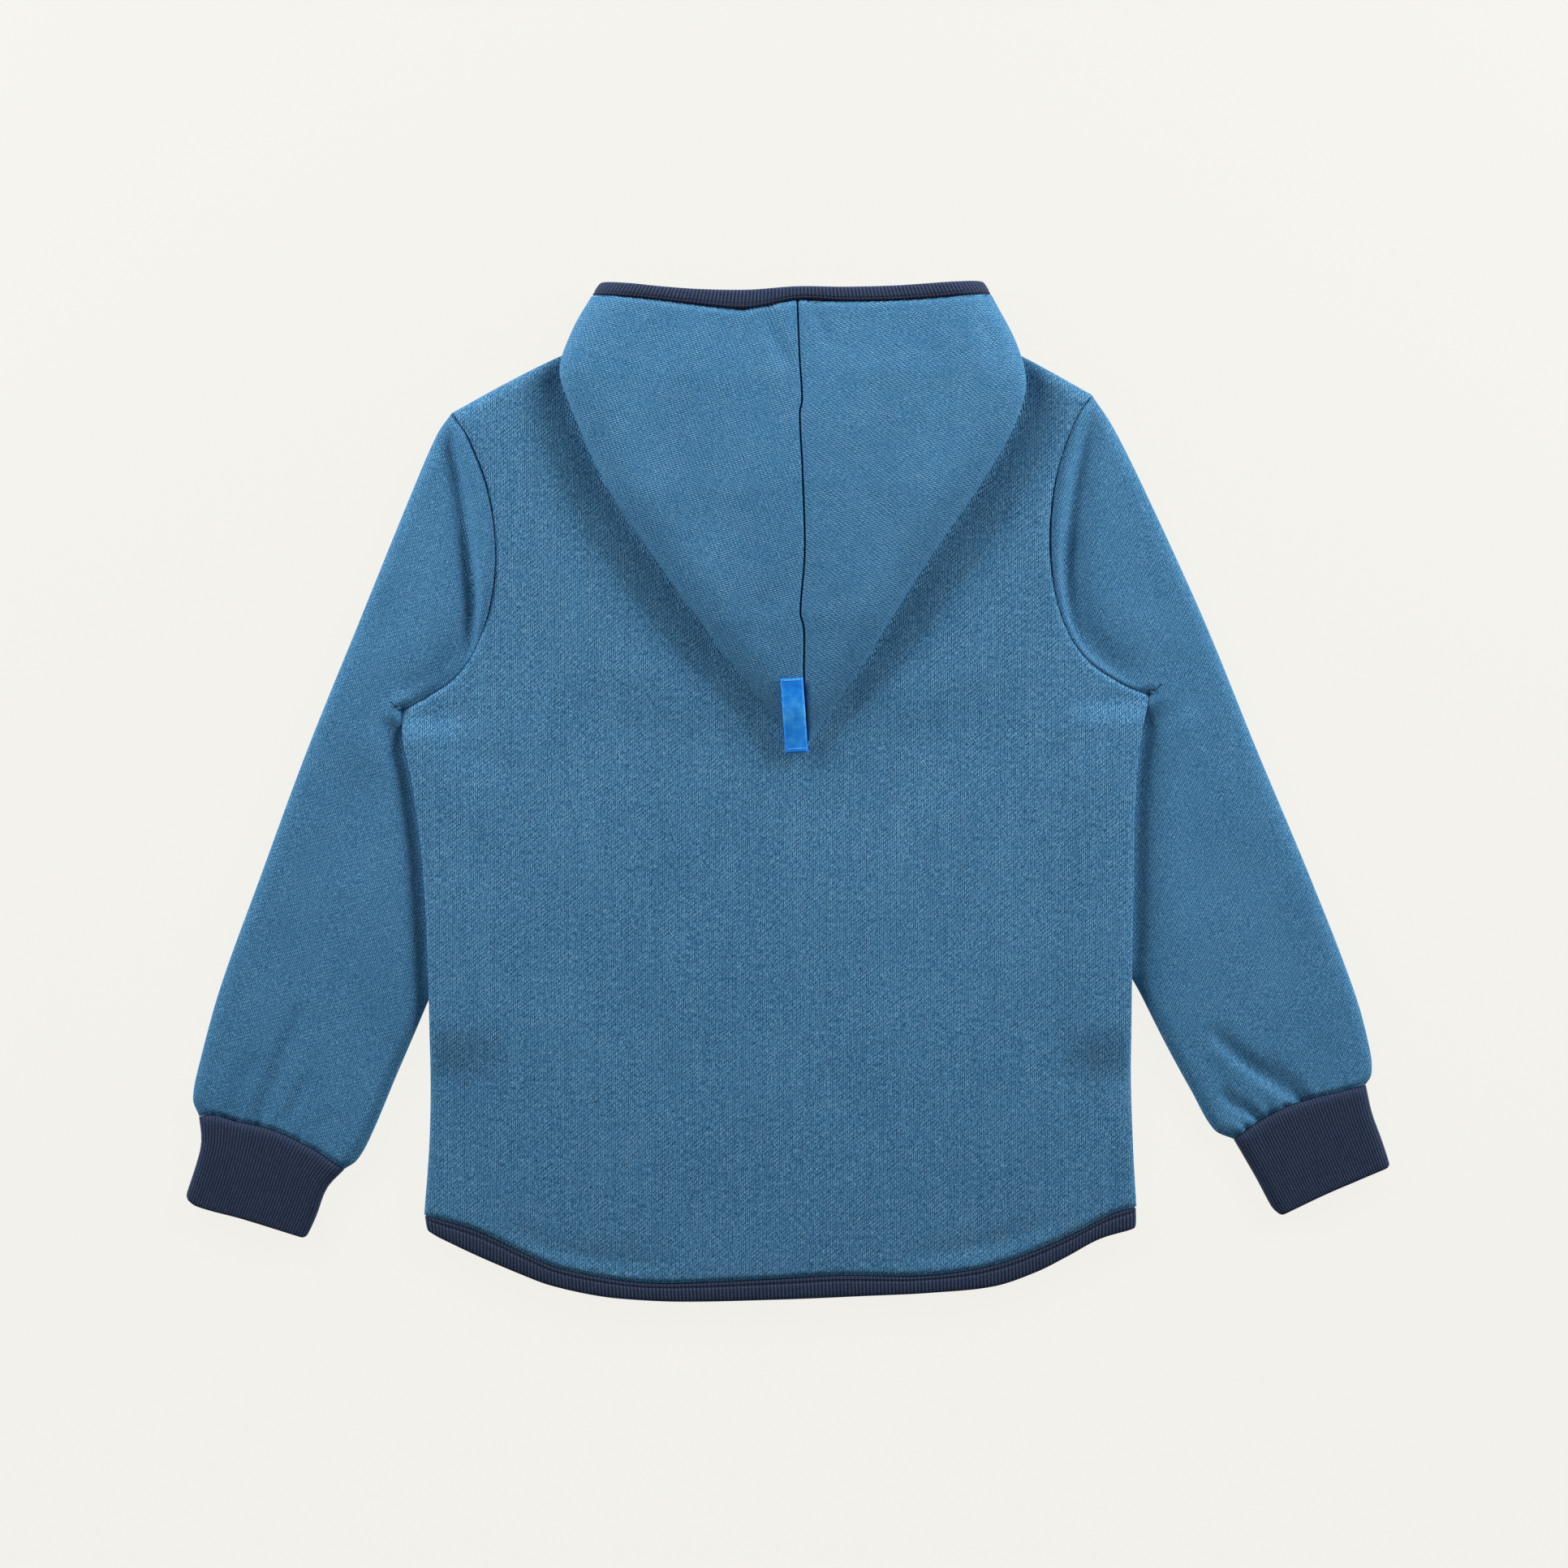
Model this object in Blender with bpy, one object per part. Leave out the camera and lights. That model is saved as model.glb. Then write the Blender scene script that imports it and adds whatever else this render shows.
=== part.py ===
"""Child's hooded sweat jacket, laid flat on its front with the hood folded down on its back.

Blender 4.5. The tables below are in millimetres, +X is to the picture's right (the wearer's right), +Y is
towards the hood and +Z is up. The garment rests on z = 0. Every piece is a wall of cloth: an outer skin,
worked out as a grid of points, and an inner skin one cloth thickness behind it.
"""

import bpy
import numpy as np

MM = 0.001

# ---- driving dimensions, millimetres -----------------------------------------------------------------
CLOTH = 2.0            # thickness of the brushed sweat knit
TRIM = 2.4             # thickness of the ribbed trim
SEAM = 0.3             # clearance between two pieces at a seam
HALF_SEAM = SEAM / 2
LAID = 7.6             # height of the two laid layers with the air between them
FOLD = LAID / 2        # height of the fold line at a rounded edge
FOLD_REACH = 7.0       # how far in from a fold the cloth is still rounding over
TUCKED = 4.5           # height of a sleeve where it is pressed under the body's side
LIFT = 4.9             # height of the body's underside where it lies on the sleeve
LIFTED_TOP = 11.3      # height of the body's back there
TUCK_STRIP = 17.0      # width of the strip that rests on the sleeve
TUCK_FADE = 32.0       # width over which the cloth comes back down beside that strip
UNDERARM_EASE = 15.0   # length over which the body comes to lie on the sleeve, below the underarm
CROSSING_Y, CROSSING_EASE = -155.0, 33.0    # where the sleeve comes out from under the body, over what length
ROLL_LOW, ROLL_EASE = 85.0, 30.0            # where the roll beside the armhole fades in, over what length
TURNED_EDGE = 3.2      # thickness of a front edge, folded once along the zip
TURNED_WIDTH = 10.5     # how far in from the zip that fold reaches
ZIP_GAP = 4.6          # from the zip's middle to each front edge
RIB_RISE = 0.35        # height of a rib above the valley beside it
CUFF_RIBS = 46         # ribs that show on one face of a cuff
HEM_RIBS = 200         # ribs that show on the back's hem
HOOD_RIBS = 105        # ribs that show on the hood's edge
HOOD_BED = LAID + SEAM  # height of the hood's lower layer, which lies on the back
HOOD_FOLD = 10.8       # height of the hood's side fold
HOOD_TOP = 20.0        # height of the hood's upper layer
HOOD_REACH = 26.0      # how far in from its side folds the hood is still rounding over
NECK_Y = 250.0         # where the shoulder seams meet the neck
SHARP_ANGLE = 0.7      # radians: a sharper bend than this is drawn as an edge
ROW_TOLERANCE = 0.001  # a share of a run that counts as nothing
CLOSEST_SHARE = 0.002  # closer shares along a hem are drawn as one
PLAIN_HEM_STEPS = 8    # even steps along the plain hem of a front, which lies beneath
UPPER, LOWER = 1.0, -1.0

# ---- outlines, millimetres: x, y -----------------------------------------------------------------------
# Each curve runs smoothly through its points.
OUTLINES = {
    "left": {
        "side": ((-193.1, -224.7), (-190.3, -185.0), (-189.8, -146.0), (-191.2, -84.7), (-194.1, -34.3),
                 (-199.8, 7.4), (-203.6, 23.8), (-205.6, 42.0)),
        "armhole": ((-205.6, 42.0), (-189.5, 51.0), (-176.9, 59.8), (-166.8, 73.7), (-158.5, 96.3),
                    (-155.1, 125.3), (-158.5, 158.2), (-169.3, 187.2), (-178.4, 200.8)),
        "shoulder": ((-178.4, 200.8), (-149.0, 217.0), (-120.0, 231.3), (-74.0, NECK_Y)),
        "front_neck": ((-74.0, NECK_Y), (-66.0, 231.0), (-48.0, 211.0), (-24.0, 198.0), (1.4, 192.0)),
        "sleeve_outer": ((-178.4, 200.8), (-186.0, 190.0), (-199.5, 159.1), (-227.5, 90.3), (-255.4, 21.5),
                         (-280.8, -47.3), (-301.0, -103.0), (-311.8, -141.9), (-315.9, -163.0),
                         (-312.6, -172.4)),
        "sleeve_inner": ((-206.1, 41.8), (-205.4, 33.0), (-202.4, 22.0), (-195.0, 8.0), (-186.0, -14.0),
                         (-181.0, -45.0), (-181.5, -86.0), (-193.1, -116.1), (-207.7, -150.5),
                         (-222.3, -184.9), (-229.0, -196.0), (-235.5, -200.5)),
        "cuff_seam": ((-312.6, -172.4), (-303.9, -171.6), (-293.5, -174.7), (-273.9, -179.3),
                      (-250.9, -190.2), (-235.5, -200.5)),
        "cuff_outer": ((-312.6, -172.4), (-311.4, -185.1), (-313.1, -194.3), (-320.0, -215.6)),
        "cuff_inner": ((-235.5, -200.5), (-244.6, -210.4), (-250.3, -225.3), (-255.6, -237.4)),
        "cuff_end": ((-320.0, -215.6), (-313.5, -220.2), (-289.0, -227.0), (-255.6, -237.4)),
        "hood_fold": ((10.3, 22.6), (-3.0, 34.9), (-24.9, 61.2), (-51.3, 96.3), (-74.0, 127.9),
                      (-96.0, 161.3), (-116.2, 206.2), (-120.8, 223.6), (-114.0, 245.1), (-104.2, 262.7)),
        "hood_edge": ((4.9, 259.4), (-7.4, 257.1), (-21.5, 254.4), (-35.4, 255.0), (-67.1, 258.9),
                      (-104.2, 262.7)),
        "binding_edge": ((4.9, 266.7), (-14.4, 265.0), (-35.4, 264.8), (-60.2, 265.9), (-99.0, 270.2)),
        "face_front": ((-75.0, 257.5), (-53.0, 249.5), (-25.0, 227.0), (-10.5, 206.0)),
    },
    "right": {
        "side": ((184.9, -220.2), (183.2, -190.0), (181.9, -144.0), (183.0, -59.3), (184.3, 1.1),
                 (188.1, 33.8), (192.5, 50.5)),
        "armhole": ((192.5, 50.5), (176.2, 57.4), (157.3, 71.1), (145.0, 93.0), (138.8, 126.6),
                    (141.5, 163.2), (152.2, 196.1), (161.1, 210.5)),
        "shoulder": ((161.1, 210.5), (142.0, 221.3), (123.0, 231.5), (84.0, NECK_Y)),
        "front_neck": ((84.0, NECK_Y), (78.0, 231.0), (60.0, 211.0), (36.0, 198.0), (10.6, 192.0)),
        "sleeve_outer": ((161.1, 210.5), (172.4, 193.5), (189.6, 159.1), (221.0, 90.3), (249.0, 21.5),
                         (277.8, -47.3), (301.0, -107.5), (309.2, -139.0), (309.6, -150.5),
                         (306.6, -155.6)),
        "sleeve_inner": ((193.0, 50.1), (191.4, 42.0), (187.2, 28.0), (178.5, 12.0), (172.5, -14.0),
                         (169.5, -45.0), (173.0, -80.0), (187.1, -107.5), (200.0, -133.3),
                         (214.1, -159.1), (226.0, -179.5), (236.5, -184.6)),
        "cuff_seam": ((306.6, -155.6), (292.3, -159.1), (272.1, -164.4), (259.7, -169.2),
                      (247.0, -176.5), (236.5, -184.6)),
        "cuff_outer": ((306.6, -155.6), (309.9, -170.4), (314.8, -183.9), (320.0, -199.0)),
        "cuff_inner": ((236.5, -184.6), (248.4, -205.2), (257.4, -222.1), (260.6, -225.6)),
        "cuff_end": ((320.0, -199.0), (301.3, -206.9), (284.4, -214.2), (260.6, -225.6)),
        "hood_fold": ((10.3, 22.6), (19.8, 38.4), (34.7, 59.5), (52.3, 87.5), (73.4, 120.9), (101.4, 161.3),
                      (119.0, 192.1), (125.8, 215.0), (121.0, 237.0), (107.9, 263.2)),
        "hood_edge": ((4.9, 259.4), (20.6, 258.5), (59.3, 258.9), (107.9, 263.2)),
        "binding_edge": ((4.9, 266.7), (41.7, 266.4), (75.0, 268.2), (103.0, 270.7)),
        "face_front": ((85.0, 257.5), (65.0, 249.5), (37.0, 227.0), (22.5, 206.0)),
    },
}
BACK_NECK = ((-74.0, NECK_Y), (-40.0, 243.0), (6.0, 240.0), (48.0, 243.0), (84.0, NECK_Y))
HOOD_SEAM = ((10.3, 22.6), (8.4, 61.2), (8.4, 85.8), (6.5, 94.0), (8.8, 126.2), (7.6, 169.4), (6.2, 200.0),
             (7.4, 206.0), (6.1, 229.0), (4.9, 259.4))
HEM_SEAM = ((-193.1, -224.7), (-164.7, -233.1), (-139.5, -245.1), (-121.8, -252.7), (-89.0, -259.3),
            (-63.8, -260.9), (-4.7, -258.4), (27.0, -256.7), (72.7, -256.7), (110.3, -250.9),
            (145.3, -237.4), (172.0, -224.0), (184.9, -220.2))
HEM_EDGE = ((-191.5, -233.6), (-164.7, -246.4), (-139.5, -257.1), (-126.9, -261.8), (-106.6, -266.6),
            (-89.0, -269.1), (-57.4, -270.7), (-4.7, -269.6), (40.4, -267.7), (74.0, -266.1),
            (109.0, -262.6), (131.8, -254.9), (147.9, -246.8), (165.4, -237.4), (184.9, -231.8))
ZIP_LINE = ((-5.0, -264.0), (6.0, 192.0))
LABEL = ((1.9, 59.5), (4.6, 20.5))
LABEL_WIDTH = 12.0
LABEL_THICK = 0.8
LABEL_SPANS = 12
LABEL_PROBES = 6       # places in each span, and across the ribbon, where the height below is taken
LABEL_DROOP = 1.0      # most that the ribbon falls from one span to the next

# Distances in from a rounded edge at which the walls have their grid lines.
ROUNDING = (0.0, 1.2, 4.0, 9.0)


# ---- curves ---------------------------------------------------------------------------------------------
def path(points, per_span=24):
    """A Catmull-Rom curve through the points, as a dense polyline."""
    p = np.array(points, float)
    p = np.vstack((2 * p[0] - p[1], p, 2 * p[-1] - p[-2]))
    t = np.linspace(0, 1, per_span, endpoint=False)[:, None]
    spans = []
    for a, b, c, d in zip(p, p[1:], p[2:], p[3:]):
        chord = np.linalg.norm(c - b)
        start = (c - a) * chord / (np.linalg.norm(b - a) + chord)
        end = (d - b) * chord / (np.linalg.norm(d - c) + chord)
        spans.append((2 * t**3 - 3 * t**2 + 1) * b + (t**3 - 2 * t**2 + t) * start
                     + (3 * t**2 - 2 * t**3) * c + (t**3 - t**2) * end)
    return np.vstack((*spans, p[-2:-1]))


def lengths(line):
    """Distance along a polyline at each of its points."""
    return np.concatenate(([0.0], np.cumsum(np.linalg.norm(np.diff(line, axis=0), axis=1))))


def at(line, fraction):
    """Points at these fractions of a polyline's length."""
    run = lengths(line)
    want = np.asarray(fraction, float) * run[-1]
    return np.stack([np.interp(want, run, line[:, k]) for k in range(line.shape[1])], axis=-1)


def distance(points, line):
    """Plan distance from each point to a polyline."""
    p = np.asarray(points, float)[..., None, :2]
    a, b = line[:-1, :2], line[1:, :2]
    ab = b - a
    share = np.clip(((p - a) * ab).sum(-1) / (ab**2).sum(-1), 0, 1)
    return np.linalg.norm(p - a - share[..., None] * ab, axis=-1).min(-1)


def ease(x):
    """0 below 0, 1 above 1, and smooth between."""
    x = np.clip(x, 0, 1)
    return x * x * (3 - 2 * x)


def rounding(inward, reach=FOLD_REACH):
    """Height of a quarter round, 0 at the fold and 1 from its reach inwards."""
    return np.sqrt(1 - (1 - np.clip(np.asarray(inward) / reach, 0, 1)) ** 2)


def coons(bottom, top, left, right, u, v):
    """Plan grid between four curves. u (rows, cols) runs across and v (rows,) runs along."""
    v = np.asarray(v)[:, None, None]
    w = np.asarray(u)[..., None]
    across = (1 - w) * left[:, None] + w * right[:, None]
    along = (1 - v) * bottom + v * top
    corners = ((1 - w) * (1 - v) * left[0] + w * (1 - v) * right[0]
               + (1 - w) * v * left[-1] + w * v * right[-1])
    return across + along - corners


def shifted(line, side_of, amount):
    """A plan curve moved sideways by an amount, away from a point on its other side."""
    tangent = np.gradient(line, axis=0)
    normal = np.stack((-tangent[:, 1], tangent[:, 0]), axis=1)
    normal /= np.linalg.norm(normal, axis=1)[:, None]
    away = np.sign((normal * (line - np.asarray(side_of))).sum(1))
    return line + normal * away[:, None] * amount


# ---- walls ----------------------------------------------------------------------------------------------
def grid_faces(index, wrap=False):
    """Quads of a grid of vertex numbers; wrap joins the last column to the first."""
    if wrap:
        index = np.concatenate((index, index[:, :1]), axis=1)
    quads = np.stack((index[:-1, :-1], index[:-1, 1:], index[1:, 1:], index[1:, :-1]), axis=-1)
    return quads.reshape(-1, 4)


def vertex_normals(points, faces):
    """Unit normals from the faces around each vertex."""
    diagonal_a = points[faces[:, 2]] - points[faces[:, 0]]
    diagonal_b = points[faces[:, 3]] - points[faces[:, 1]]
    face = np.cross(diagonal_a, diagonal_b)
    normal = np.zeros_like(points)
    for corner in range(4):
        np.add.at(normal, faces[:, corner], face)
    return normal / np.maximum(np.linalg.norm(normal, axis=1), 1e-9)[:, None]


def plan_sideways(line):
    """Level directions square to a line in plan."""
    tangent = np.gradient(line, axis=0)
    return np.stack((-tangent[:, 1], tangent[:, 0], np.zeros(len(line))), axis=1)


def without(vectors, direction):
    """Unit vectors with their share along a direction taken out."""
    direction = direction / np.maximum(np.linalg.norm(direction, axis=-1, keepdims=True), 1e-9)
    rest = vectors - (vectors * direction).sum(-1, keepdims=True) * direction
    return rest / np.linalg.norm(rest, axis=-1, keepdims=True)


def enclosed(vertices, faces):
    """Volume inside closed faces, negative where they point inwards."""
    fans = [(face[0], face[k], face[k + 1]) for face in faces for k in range(1, len(face) - 1)]
    a, b, c = (vertices[list(corner)] for corner in zip(*fans))
    return (a * np.cross(b, c)).sum() / 6


def make_object(name, vertices, faces, material):
    """A closed mesh object in the jacket's collection, its faces turned outwards; vertices in millimetres."""
    if enclosed(vertices, faces) < 0:
        faces = [face[::-1] for face in faces]
    mesh = bpy.data.meshes.new(name)
    mesh.from_pydata((vertices * MM).tolist(), [], faces)
    mesh.validate()
    mesh.materials.append(material)
    mesh.shade_smooth()
    mesh.set_sharp_from_angle(angle=SHARP_ANGLE)
    piece = bpy.data.objects.new(name, mesh)
    JACKET.objects.link(piece)
    return piece


def wall(name, material, points, faces, thickness, square=(), level=(), across=(), inner=None):
    """Close an open skin with a second skin one thickness behind it.

    square: rows of vertex numbers along seams that are cut upright in plan.
    level: vertex numbers along folds where two panels meet one above the other.
    across: pairs of vertex numbers and a direction that the thickness must not lean to.
    inner: for each vertex the number of the vertex whose inner point it shares.
    """
    normal = vertex_normals(points, faces)
    for run in level:
        normal[run] = without(normal[run], np.array((0.0, 0.0, 1.0)))
    for run in square:
        normal[run] = without(normal[run], plan_sideways(points[run]))
    for run, direction in across:
        normal[run] = without(normal[run], np.array(direction, float))
    thickness = np.broadcast_to(np.asarray(thickness, float), (len(points),))
    behind = points - normal * thickness[:, None]
    count = len(points)
    share = np.arange(count) if inner is None else np.asarray(inner)

    edges = np.sort(np.stack((faces, np.roll(faces, -1, axis=1)), axis=-1).reshape(-1, 2), axis=1)
    seen, tally = np.unique(edges, axis=0, return_counts=True)
    rim = {tuple(edge) for edge in seen[tally == 1]}
    polygons = [tuple(face) for face in faces]
    polygons += [tuple(count + share[face[::-1]]) for face in faces]
    for face in faces:
        for a, b in zip(face, np.roll(face, -1)):
            if tuple(sorted((a, b))) in rim:
                polygons.append((b, a, count + share[a], count + share[b]))
    cleaned = []
    for polygon in polygons:
        loop = [v for k, v in enumerate(polygon) if v != polygon[k - 1]]
        if len(set(loop)) > 2:
            cleaned.append([int(v) for v in loop])
    vertices = np.vstack((points, behind))
    used = np.unique(np.concatenate([np.array(loop) for loop in cleaned]))
    renumber = np.zeros(2 * count, int)
    renumber[used] = np.arange(len(used))
    return make_object(name, vertices[used], [[int(renumber[v]) for v in loop] for loop in cleaned], material)


def numbering(grid):
    """Vertex numbers of a grid of points."""
    return np.arange(grid.shape[0] * grid.shape[1]).reshape(grid.shape[:2])


def sheet(name, material, grid, thickness, flip=False, **runs):
    """A wall from one grid of points."""
    faces = grid_faces(numbering(grid))
    if flip:
        faces = faces[:, ::-1]
    wall(name, material, grid.reshape(-1, 3), faces, np.ravel(thickness) if np.ndim(thickness) else thickness,
         **runs)


# ---- materials ------------------------------------------------------------------------------------------
def finish(name, colour, roughness, metallic=0.0):
    """A Principled material; the colour is linear."""
    material = bpy.data.materials.new(name)
    material.use_nodes = True
    shader = material.node_tree.nodes["Principled BSDF"]
    shader.inputs["Base Color"].default_value = (*colour, 1.0)
    shader.inputs["Roughness"].default_value = roughness
    shader.inputs["Metallic"].default_value = metallic
    material.diffuse_color = (*colour, 1.0)
    return material


def sweat_knit(piece):
    return finish(f"sweat knit {piece}", (0.055, 0.175, 0.31), 0.95)


def rib_knit(piece):
    return finish(f"rib knit {piece}", (0.021, 0.033, 0.062), 0.92)


# ---- heights of the laid cloth ---------------------------------------------------------------------------
def pressed(side, y):
    """1 where the body lies over the sleeve on this side, 0 above the underarm and below the crossing."""
    underarm = OUTLINES[side]["armhole"][0][1]
    return ease((underarm - 1 - y) / UNDERARM_EASE) * ease((y - CROSSING_Y) / CROSSING_EASE)


def near_side(inward):
    """1 in the strip along the body's side, easing to 0 beside it."""
    return 1 - ease((inward - TUCK_STRIP) / TUCK_FADE)


def body_heights(plan):
    """Underside, fold and top heights of the body at plan points."""
    lifted = np.zeros(plan.shape[:-1])
    for side in OUTLINES:
        inward = distance(plan, SIDE_PATH[side])
        lifted = np.maximum(lifted, pressed(side, plan[..., 1]) * near_side(inward))
    low = LIFT * lifted
    top = LAID + (LIFTED_TOP - LAID) * lifted
    fold = FOLD + ((LIFT + LIFTED_TOP) / 2 - FOLD) * lifted
    return low, fold, top


def body_round(plan):
    """0 on the body's side folds and shoulder folds, 1 away from them."""
    share = np.ones(plan.shape[:-1])
    for side in OUTLINES:
        for fold in (SIDE_PATH[side], SHOULDER_PATH[side]):
            share = share * rounding(distance(plan, fold))
    return share


def on_body(plan, face):
    """Back (UPPER) or front (LOWER) outer skin of the body over a plan grid."""
    low, fold, top = body_heights(plan)
    extreme = top if face == UPPER else low
    z = fold + face * HALF_SEAM + (extreme - fold - face * HALF_SEAM) * body_round(plan)
    return np.concatenate((plan, z[..., None]), axis=-1)


# ---- stations shared by neighbouring pieces ----------------------------------------------------------------
SIDE_STEPS = (232.0, 197.0, 178.0, 160.0, 118.0, 75.0, 30.0, 16.0, 10.0, 5.0, 0.0)
LOW_ARMHOLE = (0.0, 1.2, 4.0, 9.0, 20.0, 31.0, 41.0, 50.0, 58.0)
SLEEVE_MIDDLE = (0.25, 0.5, 0.75)      # a sleeve's columns between its two rounded folds
HIGH_STRIPS = len(SLEEVE_MIDDLE) + len(ROUNDING)


def side_stations(side):
    """Fractions along the side fold, from the hem to the underarm."""
    run = lengths(SIDE_PATH[side])[-1]
    return np.array([0.0] + [1 - step / run for step in SIDE_STEPS])


def armhole_stations(side):
    """Fractions along the armhole, from the underarm to the shoulder: the low part, then the high part."""
    run = lengths(ARMHOLE_PATH[side])[-1]
    low = np.array(LOW_ARMHOLE) / run
    high = np.linspace(low[-1], 1 - ROUNDING[-1] / run, HIGH_STRIPS + 1)
    end = 1 - np.array(ROUNDING[-2::-1]) / run
    return low, np.concatenate((high, end))


def body_edge(side, inset=0.0):
    """The body's outline on one side, from the hem to the shoulder, at the shared stations."""
    low, high = armhole_stations(side)
    armhole = at(ARMHOLE_PATH[side], np.concatenate((low, high[1:])))
    fold = at(SIDE_PATH[side], side_stations(side))
    if inset:
        armhole = shifted(armhole, (0.0, 100.0), -inset)
        armhole[0] = fold[-1]
    return np.vstack((fold, armhole[1:]))


SIDE_PATH = {side: path(table["side"]) for side, table in OUTLINES.items()}
ARMHOLE_PATH = {side: path(table["armhole"]) for side, table in OUTLINES.items()}
SHOULDER_PATH = {side: path(table["shoulder"]) for side, table in OUTLINES.items()}
SIDE_ROWS = len(SIDE_STEPS) + 1

# Columns across the back: distances in from each side on a nominal width, and even steps between.
WIDTH = 385.0
EDGE_COLUMNS = np.array((0.0, 1.2, 4.0, 9.0, 22.0, 48.0)) / WIDTH
NECK_LEFT, NECK_RIGHT = 0.31, 0.77
BACK_COLUMNS = np.concatenate((EDGE_COLUMNS, (0.215, NECK_LEFT, 0.40, 0.50, 0.60, 0.69, NECK_RIGHT, 0.85),
                               1 - EDGE_COLUMNS[::-1]))
FRONT_SHARE = 2.05     # a front's columns are the back's, stretched to its half of the width
# Shares of the front neckline at which the front and the hood both have grid lines. The hood is sewn to it
# as far as the last but one, where its binding ends beside the zip.
FRONT_NECK = (0.05, 0.3, 0.62, 0.88, 0.92, 1.0)
HOOD_NECK = (0.05, 0.3, 0.62, 0.92)


def back_grid():
    """Outer skin of the back panel: rows from the hem to the shoulders, columns from left to right."""
    left, right = body_edge("left", HALF_SEAM), body_edge("right", HALF_SEAM)
    u = BACK_COLUMNS
    shoulder_l = at(SHOULDER_PATH["left"], u[u <= NECK_LEFT] / NECK_LEFT)
    shoulder_r = at(SHOULDER_PATH["right"], (1 - u[u >= NECK_RIGHT]) / (1 - NECK_RIGHT))
    inside = u[(u > NECK_LEFT) & (u < NECK_RIGHT)]
    neck = at(path(BACK_NECK), (inside - NECK_LEFT) / (NECK_RIGHT - NECK_LEFT))
    top = np.vstack((shoulder_l, neck, shoulder_r))
    top[0], top[-1] = left[-1], right[-1]
    bottom = at(path(HEM_SEAM), u)
    run = (lengths(left) / lengths(left)[-1] + lengths(right) / lengths(right)[-1]) / 2
    return on_body(coons(bottom, top, left, right, np.tile(u, (len(run), 1)), run), UPPER)


def zip_edge(side, fractions):
    """The front's edge along the zip at these fractions from hem to neck."""
    line = np.array(ZIP_LINE) + ((-ZIP_GAP if side == "left" else ZIP_GAP), 0.0)
    line[0] = hem_point(line[0, 0])
    return line[0] + np.asarray(fractions)[:, None] * (line[1] - line[0])


def hem_point(x):
    """The hem seam's point at this x."""
    seam = path(HEM_SEAM)
    return np.array((x, np.interp(x, seam[:, 0], seam[:, 1])))


def front_grid(side):
    """Outer skin of one front panel, and its thickness: rows from the hem up, columns from side to zip."""
    edge = body_edge(side, HALF_SEAM)
    shoulder_u = BACK_COLUMNS[BACK_COLUMNS <= NECK_LEFT]
    share = shoulder_u / NECK_LEFT
    if side == "right":
        shoulder_u = (1 - BACK_COLUMNS[BACK_COLUMNS >= NECK_RIGHT])[::-1]
        share = shoulder_u / (1 - NECK_RIGHT)
    last = shoulder_u[-1] * FRONT_SHARE
    u = np.concatenate((shoulder_u * FRONT_SHARE, last + (1 - last) * np.array(FRONT_NECK)))
    neck = at(path(OUTLINES[side]["front_neck"]), FRONT_NECK)
    top = np.vstack((at(SHOULDER_PATH[side], share), neck))
    top[0] = edge[-1]
    run = lengths(edge) / lengths(edge)[-1]
    opening = zip_edge(side, run)
    opening[-1] = top[-1]
    seam = path(HEM_SEAM)
    if side == "right":
        seam = seam[::-1]
    reach = np.abs(seam[:, 0] - seam[0, 0]) <= abs(opening[0, 0] - seam[0, 0])
    bottom = at(np.vstack((seam[reach], opening[:1])), u)
    grid = on_body(coons(bottom, top, edge, opening, np.tile(u, (len(run), 1)), run), LOWER)
    from_zip = np.abs(grid[..., 0] - opening[:, None, 0])
    thick = np.where(from_zip < TURNED_WIDTH, TURNED_EDGE, CLOTH)
    return grid, thick


# ---- sleeves ---------------------------------------------------------------------------------------------
# Rows below the underarm: share of the inner fold's length, share of the outer fold's length.
SLEEVE_ROWS = ((0.035, 0.405), (0.085, 0.44), (0.17, 0.49), (0.30, 0.57), (0.44, 0.66), (0.58, 0.75),
               (0.70, 0.825), (0.79, 0.885), (0.87, 0.93), (0.94, 0.965), (1.0, 1.0))
# Rows beside the low armhole: share of the outer fold's length, from the shoulder to the underarm's row.
CAP_ROWS = (0.0, 0.016, 0.038, 0.065, 0.13, 0.22, 0.31, 0.355, 0.385)
SLEEVE_WIDTH = 105.0
# Folds above the cuff: start x, y; end x, y; depth; half width.
SLEEVE_CREASES = {
    "left": ((-269.4, -140.0, -284.0, -173.5, 1.6, 7.0),),
    "right": ((235.0, -139.4, 269.8, -162.5, 2.0, 7.0),),
}
# Roll and groove beside the armhole seam: distance from the seam, height, half width.
SEAM_ROLL = (5.0, 1.2, 4.0)
SEAM_GROOVE = (16.0, -1.5, 6.0)


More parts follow.
